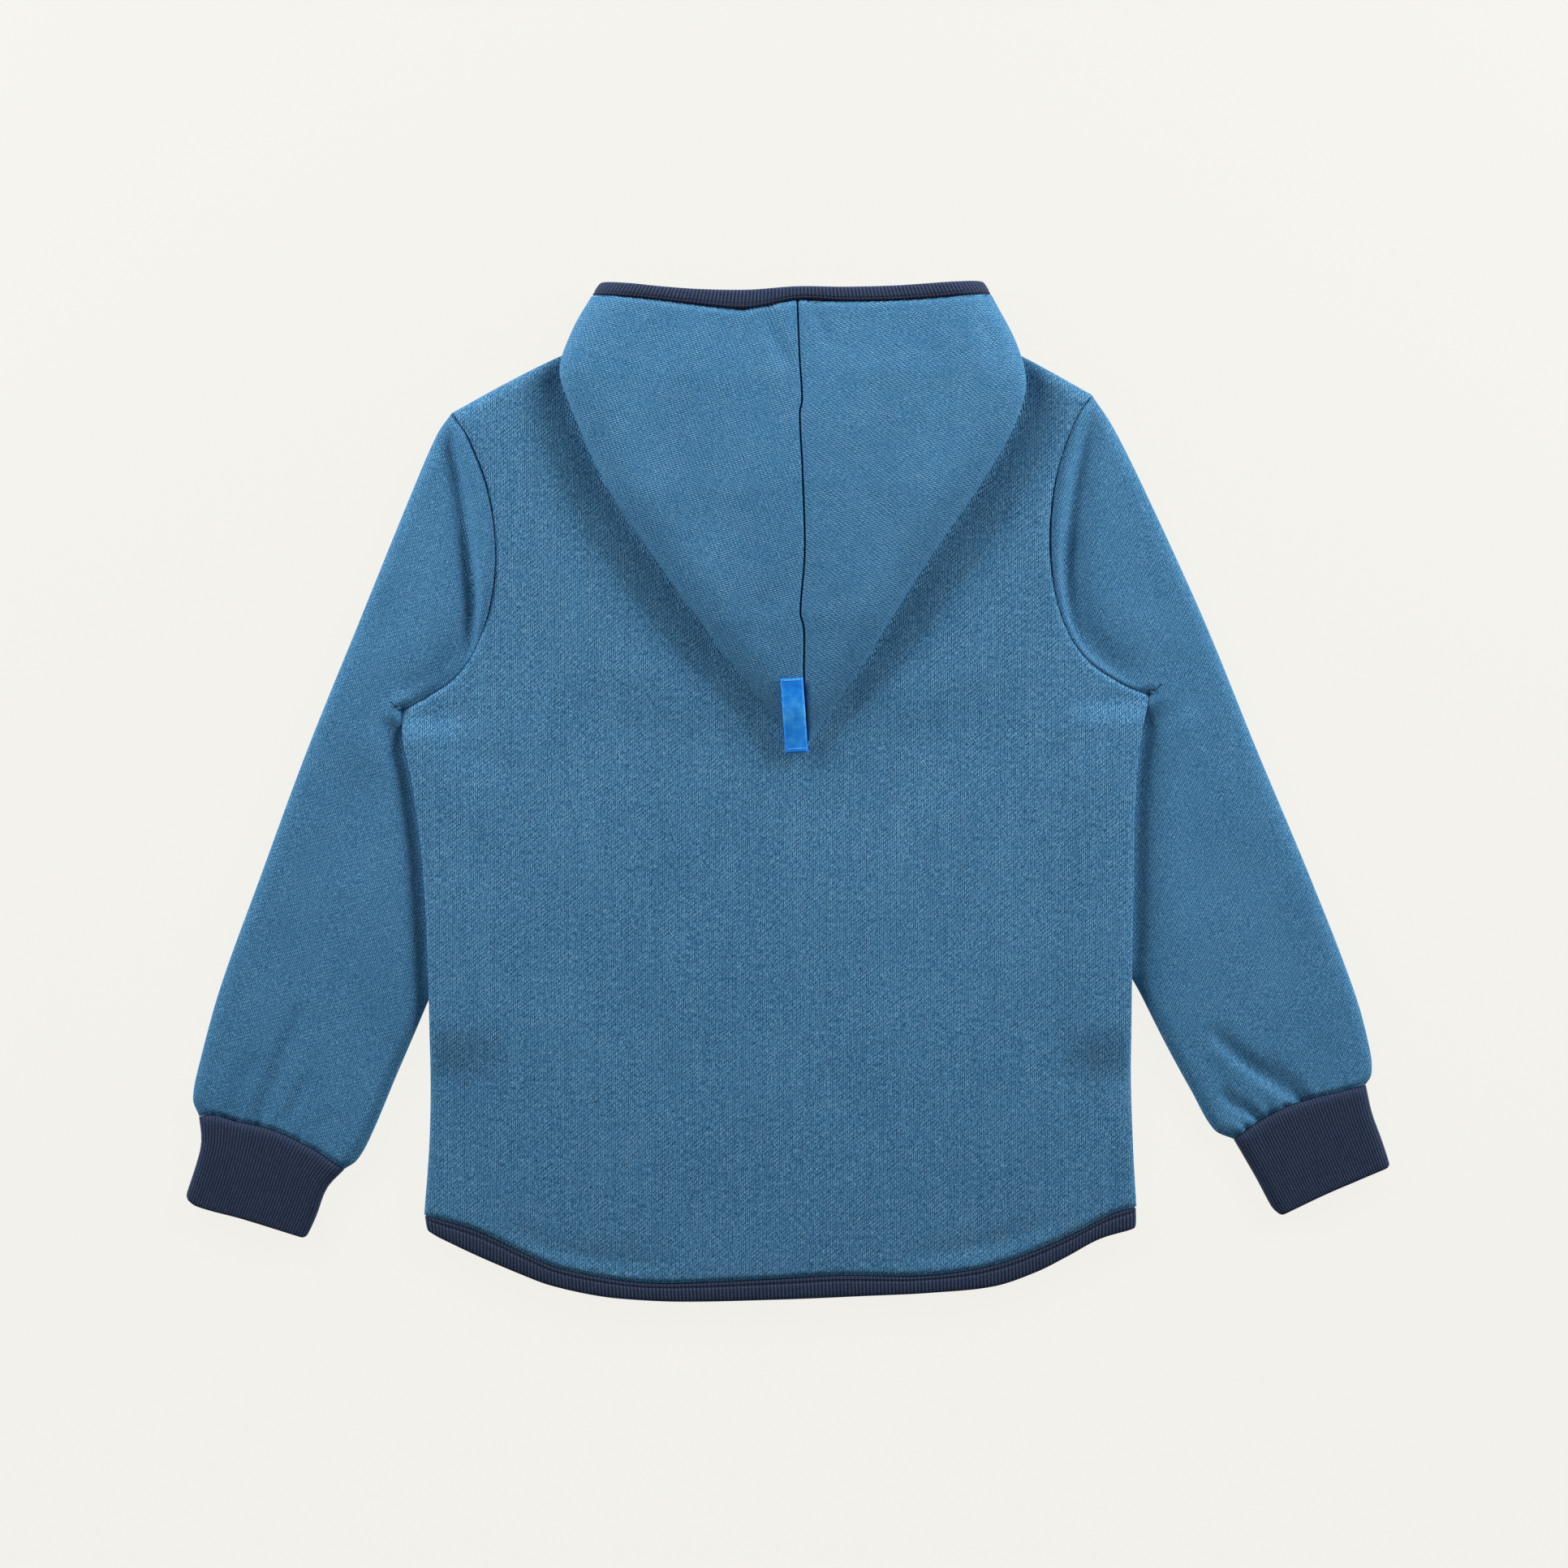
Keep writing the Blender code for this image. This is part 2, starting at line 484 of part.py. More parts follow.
def sleeve_grids(side):
    """Upper and lower outer skins of a sleeve. They share the outer fold and, below the underarm, the
    inner fold; between the underarm and the shoulder they part along the armhole."""
    table = OUTLINES[side]
    low, high = armhole_stations(side)
    armhole_low = shifted(at(ARMHOLE_PATH[side], low), (0.0, 100.0), HALF_SEAM)
    armhole_high = shifted(at(ARMHOLE_PATH[side], high), (0.0, 100.0), HALF_SEAM)
    inner_path, outer_path = path(table["sleeve_inner"]), path(table["sleeve_outer"])
    rows = np.array(SLEEVE_ROWS)
    armhole_low[0] = inner_path[0]
    inner = np.vstack((armhole_low[::-1], at(inner_path, rows[:, 0])))
    outer = at(outer_path, np.concatenate((CAP_ROWS, rows[:, 1])))
    outer[0] = armhole_high[-1]
    seam_path = path(table["cuff_seam"])

    even = (high[-1] - high[::-1]) / (high[-1] - high[0])
    edge = np.array(ROUNDING) / SLEEVE_WIDTH
    bunched = np.concatenate((edge, SLEEVE_MIDDLE, 1 - edge[::-1]))
    run = (lengths(inner) / lengths(inner)[-1] + lengths(outer) / lengths(outer)[-1]) / 2
    turn = ease(np.arange(len(run)) / (len(LOW_ARMHOLE) - 1.0))[:, None]
    columns = (1 - turn) * even + turn * bunched
    first = armhole_high[::-1]
    grid = np.empty((len(run), len(even), 2))
    for row, u in enumerate(columns):
        top_curve = np.stack([np.interp(u, even, first[:, k]) for k in range(2)], axis=1)
        straight = first[0] + u[:, None] * (first[-1] - first[0])
        top_curve += turn[row] * (straight - top_curve)
        end_curve = at(seam_path, u)
        grid[row] = coons(top_curve, end_curve, np.stack((outer[0], outer[row], outer[-1])),
                          np.stack((inner[0], inner[row], inner[-1])), np.tile(u, (3, 1)),
                          np.array((0.0, run[row], 1.0)))[1]
    z_low, z_fold, z_top = sleeve_heights(side, grid, inner_path)
    share = rounding(distance(grid, outer_path)) * rounding(distance(grid, inner_path))
    upper = z_fold + (z_top - z_fold) * share
    lower = z_fold + (z_low - z_fold) * share
    upper = upper + sleeve_relief(side, grid) * share
    return (np.concatenate((grid, upper[..., None]), axis=-1),
            np.concatenate((grid, lower[..., None]), axis=-1))


def sleeve_heights(side, plan, inner_path):
    """Underside, fold and top heights of a sleeve, low where the body's side lies on it."""
    strip = pressed(side, plan[..., 1]) * near_side(distance(plan, inner_path))
    top = LAID - (LAID - TUCKED) * strip
    fold = FOLD - (FOLD - TUCKED / 2) * strip
    return np.zeros_like(top), fold, top


def sleeve_relief(side, plan):
    """The roll and groove beside the armhole seam, and the folds above the cuff."""
    away = distance(plan, ARMHOLE_PATH[side])
    clear = ease((plan[..., 1] - ROLL_LOW) / ROLL_EASE)
    relief = np.zeros(plan.shape[:-1])
    for centre, height, half in (SEAM_ROLL, SEAM_GROOVE):
        relief += height * np.exp(-(((away - centre) / half) ** 2)) * clear
    for x0, y0, x1, y1, depth, half in SLEEVE_CREASES[side]:
        line = np.array(((x0, y0), (x1, y1)))
        relief -= depth * np.exp(-((distance(plan, line) / half) ** 2))
    return relief


def sleeve(side):
    """One sleeve as a closed wall; returns its end row for the cuff."""
    upper, lower = sleeve_grids(side)
    rows, cols = upper.shape[:2]
    top = np.arange(rows * cols).reshape(rows, cols)
    bottom = top + rows * cols
    bottom[:, 0] = top[:, 0]
    joined = len(LOW_ARMHOLE) - 1
    bottom[joined:, -1] = top[joined:, -1]
    points = np.vstack((upper.reshape(-1, 3), lower.reshape(-1, 3)))
    faces = np.vstack((grid_faces(top), grid_faces(bottom)[:, ::-1]))
    if side == "left":
        faces = faces[:, ::-1]
    used, faces = np.unique(faces, return_inverse=True)
    faces = faces.reshape(-1, 4)
    number = np.full(len(points), -1)
    number[used] = np.arange(len(used))
    seams = [number[np.concatenate((skin[0], skin[1:joined + 1, -1]))] for skin in (top, bottom)]
    wall(f"sleeve_{side}", sweat_knit(f"sleeve {side}"), points[used], faces, CLOTH, square=seams)
    return upper[-1], lower[-1]


# ---- cuffs -----------------------------------------------------------------------------------------------
CUFF_ROWS = (0.0, 0.4, 1.0)


def cuff(side, seam_upper, seam_lower):
    """A ribbed tube that carries on from the sleeve's end row."""
    table = OUTLINES[side]
    count = 2 * CUFF_RIBS
    edge = np.linspace(0, 1, count + 1)
    # The ribs stand evenly over the cuff's face, seen from above.
    start_upper, start_lower = seam_upper.copy(), seam_lower.copy()
    plan_u = lengths(start_upper[:, :2]) / lengths(start_upper[:, :2])[-1]
    start = np.stack([np.interp(edge, plan_u, start_upper[:, k]) for k in range(3)], axis=1)
    low_u = np.array((0.0, 0.012, 0.05, 0.12, 0.5, 0.88, 0.95, 0.988, 1.0))
    start_low = np.stack([np.interp(low_u, plan_u, start_lower[:, k]) for k in range(3)], axis=1)
    outer, inner = path(table["cuff_outer"]), path(table["cuff_inner"])
    end_path = path(table["cuff_end"])
    upper, lower = [], []
    axis = (end_path[0] + end_path[-1] - start[0, :2] - start[-1, :2]) / 2
    axis /= np.linalg.norm(axis)
    for v in CUFF_ROWS:
        fore = np.stack((outer[0], at(outer, [v])[0], outer[-1]))
        back = np.stack((inner[0], at(inner, [v])[0], inner[-1]))
        for u, first, face, rows in ((edge, start, UPPER, upper), (low_u, start_low, LOWER, lower)):
            plan = coons(first[:, :2], at(end_path, u), fore, back, np.tile(u, (3, 1)),
                         np.array((0.0, v, 1.0)))[1]
            plan = plan + axis * SEAM * (1 - v)
            width = np.linalg.norm(plan[-1] - plan[0])
            share = rounding(np.minimum(u, 1 - u) * width)
            z = FOLD + face * FOLD * share
            if face == UPPER:
                ribs = np.arange(len(u)) % 2 == 1
                z = z + RIB_RISE * ribs * share
            rows.append(np.concatenate((plan, z[:, None]), axis=1))
    upper, lower = np.array(upper), np.array(lower)
    loop = np.concatenate((upper, lower[:, -2:0:-1]), axis=1)
    rows, cols = loop.shape[:2]
    index = np.arange(rows * cols).reshape(rows, cols)
    share = index.copy()
    share[:, 1:count:2] = share[:, 0:count - 1:2]
    faces = grid_faces(index, wrap=True)
    if side == "left":
        faces = faces[:, ::-1]
    wall(f"cuff_{side}", rib_knit(f"cuff {side}"), loop.reshape(-1, 3), faces, TRIM - RIB_RISE / 2,
         inner=share.reshape(-1))


# ---- hood ------------------------------------------------------------------------------------------------
NAPE_ROW, NECK_ROW = 0.80, 0.94
HOOD_ROWS = (0.0, 0.03, 0.08, 0.15, 0.25, 0.36, 0.48, 0.60, 0.70, NAPE_ROW, 0.87, NECK_ROW,
             0.952, 0.964, 0.976, 0.988, 1.0)
HOOD_COLUMNS = (0.0, 0.25, 0.5, 0.7, 0.84, 0.93, 0.98, 1.0)
UNDER_COLUMNS = (0.02, 0.06, 0.16, 0.48, 0.8)
UNDER_PART = UNDER_COLUMNS[-1]         # share of the underside's columns that lie before the neck edge
FACE_COLUMNS = (0.25, 0.5, 0.75, 1.0)
SHORTEST_TURN = 12.0                   # the least width that a fold is worked out for, near the tip
NECK_INSET = 1.0                       # how far behind the neck seam the hood's lower layer ends
# Rows beyond the neck, as shares of the way to the face edge, and the share of the front neckline that
# each has reached.
SEWN_ROWS = (0.0, 0.4, 0.6, 0.8, 1.0)
# Where the rows beyond the neck pass the shoulder's end: share of the way to the face edge, y and z.
PASS = ((0.0, NECK_Y - 1.0, HOOD_BED), (0.2, NECK_Y + 1.5, 4.0), (0.4, NECK_Y + 2.0, 0.0),
        (0.6, NECK_Y + 3.6, 0.0), (0.8, NECK_Y + 5.5, 0.0), (1.0, NECK_Y + 7.5, 0.0))
# Height of the upper layer along the hood, tip to face edge: share of the length, height at the seam,
# height half way out.
HOOD_HEIGHTS = ((0.0, 13.6, 13.6), (0.10, 17.6, 17.2), (0.3, 19.6, 19.2), (0.6, HOOD_TOP, HOOD_TOP),
                (0.85, 18.8, 19.8), (1.0, 18.0, 19.4))


MOUTH_START, MOUTH_DROP = 0.85, 4.4    # where the side fold starts to come down to the mouth, and how far


def hood_grid(side):
    """Outer skin of one hood half. Each row runs from the centre seam over the side fold and back under,
    and past the neck it runs round the shoulder's end to the front neck edge."""
    table = OUTLINES[side]
    away = -1.0 if side == "left" else 1.0
    v = np.array(HOOD_ROWS)
    seam = at(path(HOOD_SEAM), v) + (away * HALF_SEAM, 0.0)
    fold = at(path(table["hood_fold"]), v)
    fold[0] = seam[0]
    edge_path = path(table["hood_edge"])
    u = np.array(HOOD_COLUMNS)
    face = at(edge_path, u) + (away * HALF_SEAM, 0.0) * (1 - u)[:, None]
    tip = np.tile(seam[0], (len(u), 1))
    plan = coons(tip, face, seam, fold, np.tile(u, (len(v), 1)), v)

    fold_z = HOOD_FOLD - MOUTH_DROP * ease((v - MOUTH_START) / (1 - MOUTH_START))
    heights = np.array(HOOD_HEIGHTS)
    middle = np.interp(v, heights[:, 0], heights[:, 1])
    half_way = np.interp(v, heights[:, 0], heights[:, 2])
    out = np.linalg.norm(fold - seam, axis=1)
    inward = (1 - u) * np.maximum(out, SHORTEST_TURN)[:, None]
    plateau = middle[:, None] + (half_way - middle)[:, None] * np.sin(np.pi * np.minimum(u, 0.5))
    upper_z = fold_z[:, None] + (plateau - fold_z[:, None]) * rounding(inward, HOOD_REACH)
    upper = np.concatenate((plan, upper_z[..., None]), axis=-1)

    under = np.array([hood_underside(side, *row) for row in zip(v, fold, fold_z)])
    return np.concatenate((upper, under), axis=1)


def face_path(side):
    """The hood's face edge on the garment's front, from the shoulder's end to beside the zip."""
    table = OUTLINES[side]
    neck = shifted(path(table["front_neck"]), (table["front_neck"][0][0], 150.0), SEAM)
    return path(np.vstack((table["face_front"], at(neck, HOOD_NECK[-1:]))))


NECK_PASS = 1.2        # how far beyond the front neck's end the first rows pass


def hood_underside(side, v, start, start_z):
    """Points of one row from the side fold to where it is sewn."""
    table = OUTLINES[side]
    away = -1.0 if side == "left" else 1.0
    inset = np.array((0.0, NECK_INSET))
    nape = np.array(BACK_NECK[2]) - inset
    tip = np.array(HOOD_SEAM[0])
    neck_end = np.array(BACK_NECK[0 if side == "left" else -1]) - inset
    c = np.array(UNDER_COLUMNS + tuple(UNDER_PART + (1 - UNDER_PART) * q for q in FACE_COLUMNS))
    if v <= NECK_ROW:
        if v <= NAPE_ROW:
            end = tip + (nape - tip) * v / NAPE_ROW + (away * HALF_SEAM, 0.0)
        else:
            half = path(BACK_NECK[2::-1] if side == "left" else BACK_NECK[2:])
            end = at(half, [(v - NAPE_ROW) / (NECK_ROW - NAPE_ROW)])[0] - inset
        plan = start + c[:, None] * (end - start)
        bed = np.full(len(c), HOOD_BED)
        run = c * max(np.linalg.norm(end - start), SHORTEST_TURN)
    else:
        g = (v - NECK_ROW) / (1 - NECK_ROW)
        steps = np.array(PASS)
        around = np.array((neck_end[0] + away, np.interp(g, steps[:, 0], steps[:, 1])))
        low = np.interp(g, steps[:, 0], steps[:, 2])
        plan = start + (c / UNDER_PART)[:len(UNDER_COLUMNS), None] * (around - start)
        neck = shifted(path(table["front_neck"]), (neck_end[0], 150.0), SEAM)
        sewn = np.interp(g, SEWN_ROWS, (0.0, *HOOD_NECK))
        q = np.array(FACE_COLUMNS)
        if g < SEWN_ROWS[1] - ROW_TOLERANCE:
            crescent = around + q[:, None] * (neck[0] + (0.0, NECK_PASS) - around)
        else:
            share = g * (1 - q) ** (1 - g) if g < 1 - ROW_TOLERANCE else np.ones_like(q)
            along_neck = at(neck, sewn * q)
            along_face = at(face_path(side), sewn / HOOD_NECK[-1] * q)
            crescent = along_neck + share[:, None] * (along_face - along_neck)
        plan = np.vstack((plan, crescent))
        bed = np.full(len(c), low)
        run = c * max(np.linalg.norm(around - start), SHORTEST_TURN)
    z = start_z + (bed - start_z) * rounding(run)
    return np.concatenate((plan, z[:, None]), axis=1)


def hood(side):
    """One hood half; returns its face edge, from the centre seam round to the front neck."""
    grid = hood_grid(side)
    rows, cols = grid.shape[:2]
    index = np.arange(rows * cols).reshape(rows, cols)
    faces = grid_faces(index)
    if side == "left":
        faces = faces[:, ::-1]
    nape = HOOD_ROWS.index(NAPE_ROW) + 1
    upright = np.array((1.0, 0.0, 0.0))
    seams = ((index[:, 0], upright), (index[0], upright), (index[:nape, -1], upright))
    wall(f"hood_{side}", sweat_knit(f"hood {side}"), grid.reshape(-1, 3), faces, CLOTH, across=seams)
    return grid


# ---- ribbed bindings ---------------------------------------------------------------------------------------
def binding(name, near, far, normal, rib):
    """A strip sewn along an edge: near and far are its long sides, normal points out of its face.
    rib is 1 on a rib, 0 in a valley and on plain stretches; valleys share an inner point with a rib."""
    ridge = normal * (RIB_RISE * rib)[:, None]
    back = TRIM * normal
    loop = np.stack((near + ridge, far + ridge, far - back, near - back), axis=1)
    count = len(near)
    index = np.arange(count * 4).reshape(count, 4)
    ribbed = rib > 0.5
    for row in np.nonzero(ribbed)[0]:
        index[row, 2:] = index[row - 1, 2:]
    faces = grid_faces(index, wrap=True)
    points = loop.reshape(-1, 3)
    polygons = []
    for face in faces:
        ring = [int(v) for k, v in enumerate(face) if v != face[k - 1]]
        if len(set(ring)) > 2:
            polygons.append(ring)
    polygons.append([int(v) for v in index[0][::-1]])
    polygons.append([int(v) for v in index[-1]])
    used = np.unique(np.concatenate([np.array(ring) for ring in polygons]))
    number = {int(v): k for k, v in enumerate(used)}
    polygons = [[number[v] for v in ring] for ring in polygons]
    make_object(name, points[used], polygons, rib_knit(name.replace("_", " ")))


def follow(line, fractions):
    """Points of a three-dimensional polyline at these fractions of its plan length."""
    run = lengths(line[:, :2])
    want = np.asarray(fractions) * run[-1]
    return np.stack([np.interp(want, run, line[:, k]) for k in range(3)], axis=1)


def with_corners(line, steps):
    """Even fractions of a polyline's plan length, and the fractions of its own corners."""
    run = lengths(line[:, :2])
    share = np.concatenate((np.linspace(0, 1, steps + 1), run / run[-1]))
    share = np.sort(share)
    return share[np.concatenate(([True], np.diff(share) > CLOSEST_SHARE))]


def hem_band(seam_line, edge_line, face, ribs):
    """The binding below one panel's hem seam, from the side fold inwards or across; plain where ribs is 0."""
    if ribs:
        share = np.linspace(0, 1, 2 * ribs + 1)
    else:
        share = with_corners(seam_line, PLAIN_HEM_STEPS)
        share[-1] = 1.0
    near = follow(seam_line, share)
    seam_at = near.copy()
    far = near.copy()
    far[:, :2] = at(edge_line, share)
    down = far[:, :2] - near[:, :2]
    down /= np.linalg.norm(down, axis=1)[:, None]
    near[:, :2] += down * SEAM
    slope = np.gradient(near, axis=0)
    normal = np.cross(slope, np.concatenate((down, np.zeros((len(down), 1))), axis=1))
    normal *= (np.sign(normal[:, 2]) * face)[:, None]
    for end, inside in ((0, 1), (-1, -2)):
        if abs(near[end, 2] - near[inside, 2]) > LEVEL:
            normal[end] = without(normal[end][None], np.array((0.0, 0.0, 1.0)))[0]
    normal = without(normal, plan_sideways(seam_at))
    rib = (np.arange(len(share)) % 2 == 1) * (1.0 if ribs else 0.0)
    return near, far, normal, rib


LEVEL = 0.05           # a smaller rise between two stations counts as level


def hem_pieces(back, fronts):
    """The hem's binding in three lengths, under the back and under each front."""
    edge = path(HEM_EDGE)
    binding("hem_back", *hem_band(back[0], edge, UPPER, HEM_RIBS))
    for side, grid in fronts.items():
        seam_line = grid[0]
        line = edge if side == "left" else edge[::-1]
        end_x = seam_line[-1, 0]
        reach = np.abs(line[:, 0] - line[0, 0]) <= abs(end_x - line[0, 0])
        end_y = np.interp(end_x, edge[:, 0], edge[:, 1])
        line = np.vstack((line[reach], ((end_x, end_y),)))
        near, far, normal, rib = hem_band(seam_line, line, LOWER, 0)
        if side == "left":
            near, far, normal, rib = near[::-1], far[::-1], normal[::-1], rib[::-1]
        binding(f"hem_front_{side}", near, far, normal, rib)


FACE_STEPS = 14        # even steps along the binding's run on the garment's front
FACE_BAND = 7.6        # width of the binding there
TURN_COLUMNS = 3       # columns of the underside that the binding takes to turn over the side fold
BEND_STEPS = 5.0       # steps over which it then bends into the front neck


def face_edge(side, grid, ribs):
    """Stations of the hood's binding on one side: from the centre seam over the fold to the front neck."""
    upper_cols = len(HOOD_COLUMNS)
    last = grid[-1]
    top = last[:upper_cols - 1]
    turn = last[upper_cols - 1:upper_cols + TURN_COLUMNS]
    under = last[upper_cols + TURN_COLUMNS - 1:]
    rim = path(OUTLINES[side]["binding_edge"])
    share = np.linspace(0, 1, ribs + 1)
    near = follow(top, share)
    outer = at(rim, share * lengths(top[:, :2])[-1] / lengths(last[:upper_cols, :2])[-1])
    toward = outer - near[:, :2]
    reach = np.linalg.norm(toward, axis=1) - SEAM
    toward /= np.linalg.norm(toward, axis=1)[:, None]

    turn_toward = np.tile(toward[-1], (len(turn), 1))
    under_near = follow(under, with_corners(under, FACE_STEPS))[1:]
    tangent = np.gradient(under_near[:, :2], axis=0)
    sideways = np.stack((-tangent[:, 1], tangent[:, 0]), axis=1)
    sideways /= np.linalg.norm(sideways, axis=1)[:, None]
    sideways *= -1.0 if side == "right" else 1.0
    bend = ease(np.arange(1, len(under_near) + 1) / BEND_STEPS)[:, None]
    sideways = bend * sideways + (1 - bend) * toward[-1]
    sideways /= np.linalg.norm(sideways, axis=1)[:, None]

    all_near = np.vstack((near, turn, under_near))
    all_toward = np.vstack((toward, turn_toward, sideways))
    width = np.concatenate((reach, np.full(len(turn), reach[-1]), np.full(len(under_near), FACE_BAND)))
    out3 = np.concatenate((all_toward, np.zeros((len(all_toward), 1))), axis=1)
    along = np.gradient(all_near, axis=0)
    normal = np.cross(along, out3)
    normal /= np.linalg.norm(normal, axis=1)[:, None]
    if normal[0, 2] < 0:
        normal = -normal
    normal = without(normal, out3)
    normal[all_near[:, 2] < LEVEL] = (0.0, 0.0, -1.0)
    rib = np.zeros(len(all_near))
    rib[1:len(near) - 1:2] = 1.0
    return all_near + out3 * SEAM, all_near + out3 * (SEAM + width)[:, None], normal, rib


# ---- label, zip --------------------------------------------------------------------------------------------
def height_on(grid, plan):
    """Height of a grid's surface at plan points, 0 where they lie beside it."""
    a, b = grid[:-1, :-1].reshape(-1, 3), grid[:-1, 1:].reshape(-1, 3)
    c, d = grid[1:, 1:].reshape(-1, 3), grid[1:, :-1].reshape(-1, 3)
    p, q, r = (np.vstack(pair) for pair in ((a, a), (b, c), (c, d)))
    e0, e1 = q[:, :2] - p[:, :2], r[:, :2] - p[:, :2]
    area = e0[:, 0] * e1[:, 1] - e0[:, 1] * e1[:, 0]
    solid = np.abs(area) > 1e-6
    p, q, r, e0, e1, area = p[solid], q[solid], r[solid], e0[solid], e1[solid], area[solid]
    found = np.zeros(len(plan))
    for k, point in enumerate(plan):
        w = point - p[:, :2]
        s = (w[:, 0] * e1[:, 1] - w[:, 1] * e1[:, 0]) / area
        t = (e0[:, 0] * w[:, 1] - e0[:, 1] * w[:, 0]) / area
        hit = (s > -1e-6) & (t > -1e-6) & (s + t < 1 + 1e-6)
        if hit.any():
            z = p[:, 2] + s * (q[:, 2] - p[:, 2]) + t * (r[:, 2] - p[:, 2])
            found[k] = z[hit].max()
    return found


def label(hoods):
    """A flat ribbon that lies on the hood's point and reaches a little past it."""
    start, end = np.array(LABEL)
    along = (end - start) / np.linalg.norm(end - start)
    across = np.array((-along[1], along[0]))
    fine = np.linspace(0, 1, LABEL_PROBES * LABEL_SPANS + 1)
    line = start + fine[:, None] * (end - start)
    bed = np.zeros(len(fine))
    for share in np.linspace(-0.5, 0.5, LABEL_PROBES + 1):
        for grid in hoods.values():
            bed = np.maximum(bed, height_on(grid[:, :len(HOOD_COLUMNS)], line + share * LABEL_WIDTH * across))
    middle, spans = line[::LABEL_PROBES], fine[::LABEL_PROBES]
    rest = bed[::LABEL_PROBES].copy()
    for k in range(1, len(rest)):
        rest[k] = max(rest[k], rest[k - 1] - LABEL_DROOP)
    shortfall = (bed - np.interp(fine, spans, rest)).max()
    z = rest + shortfall + SEAM + LABEL_THICK
    sides = [middle + s * LABEL_WIDTH / 2 * across for s in (-1, 1)]
    grid = np.stack([np.concatenate((side, z[:, None]), axis=1) for side in sides], axis=1)
    sheet("label", finish("label satin", (0.03, 0.36, 0.72), 0.4), grid, LABEL_THICK)


def prism(name, material, profile, start, end, plane):
    """A closed outline in one plane carried straight from one place to another."""
    profile = np.array(profile, float)
    rings = []
    for place in (start, end):
        ring = np.tile(np.array(place, float), (len(profile), 1))
        ring[:, plane[0]] += profile[:, 0]
        ring[:, plane[1]] += profile[:, 1]
        rings.append(ring)
    count = len(profile)
    index = np.arange(2 * count).reshape(2, count)
    faces = [[int(v) for v in face] for face in grid_faces(index, wrap=True)]
    faces.append([int(v) for v in index[0][::-1]])
    faces.append([int(v) for v in index[1]])
    return make_object(name, np.vstack(rings), faces, material)


TAPE = (3.5, 4.1)          # the tapes' lower and upper height
CHAIN = (2.4, 4.9)         # the teeth's lower and upper height
TAPE_HALF, CHAIN_HALF = 12.0, 2.6
SLIDER = (1.45, 2.1)       # the slider's front plate
SLIDER_HALF, SLIDER_LENGTH, SLIDER_TOP = 3.6, 10.0, 186.0
RAIL_INNER, RAIL_LOW = 2.6, 0.35
ZIP_STOP = 2.0             # how far the zip ends below the front neck
HINGE_INSET = 3.0          # the pull tab's axis below the slider's top
PULL_HALF, PULL_LENGTH, PULL_AXIS_Z, PULL_HEAD, PULL_NECK = 2.2, 20.0, 0.8, 0.5, 1.0
PULL_PLATE = (0.4, 1.2)


def zip_parts():
    """Tapes with their chain, the slider near the neck and its pull tab, which lies along the chain."""
    metal = finish("zip metal", (0.35, 0.36, 0.38), 0.35, 1.0)
    tape_finish = finish("zip tape", (0.02, 0.03, 0.06), 0.85)
    bottom, top = np.array(ZIP_LINE)
    top = top - (top - bottom) * ZIP_STOP / lengths(np.array(ZIP_LINE))[-1]
    low, high = TAPE
    outline = [(-TAPE_HALF, low), (-CHAIN_HALF, low), (-CHAIN_HALF, CHAIN[0]), (CHAIN_HALF, CHAIN[0]),
               (CHAIN_HALF, low), (TAPE_HALF, low), (TAPE_HALF, high), (CHAIN_HALF, high),
               (CHAIN_HALF, CHAIN[1]), (-CHAIN_HALF, CHAIN[1]), (-CHAIN_HALF, high), (-TAPE_HALF, high)]
    prism("zip", tape_finish, outline, (*bottom, 0.0), (*top, 0.0), (0, 2))
    middle_x = np.interp(SLIDER_TOP - SLIDER_LENGTH / 2, (bottom[1], top[1]), (bottom[0], top[0]))
    plate = [(-SLIDER_HALF, RAIL_LOW), (-RAIL_INNER, RAIL_LOW), (-RAIL_INNER, SLIDER[0]),
             (RAIL_INNER, SLIDER[0]), (RAIL_INNER, RAIL_LOW), (SLIDER_HALF, RAIL_LOW),
             (SLIDER_HALF, SLIDER[1]), (-SLIDER_HALF, SLIDER[1])]
    prism("zip_slider", metal, plate, (middle_x, SLIDER_TOP, 0.0),
          (middle_x, SLIDER_TOP - SLIDER_LENGTH, 0.0), (0, 2))
    turn = np.linspace(-np.pi / 2, np.pi / 2, 7)
    head = [(PULL_HEAD * np.cos(a), PULL_HEAD * np.sin(a)) for a in turn]
    half = (PULL_PLATE[1] - PULL_PLATE[0]) / 2
    tab = head + [(-PULL_NECK, half), (-PULL_LENGTH, half), (-PULL_LENGTH, -half), (-PULL_NECK, -half)]
    pull = prism("zip_pull", metal, tab, (-PULL_HALF, 0.0, 0.0), (PULL_HALF, 0.0, 0.0), (1, 2))
    pull.location = (middle_x * MM, (SLIDER_TOP - HINGE_INSET) * MM, PULL_AXIS_Z * MM)


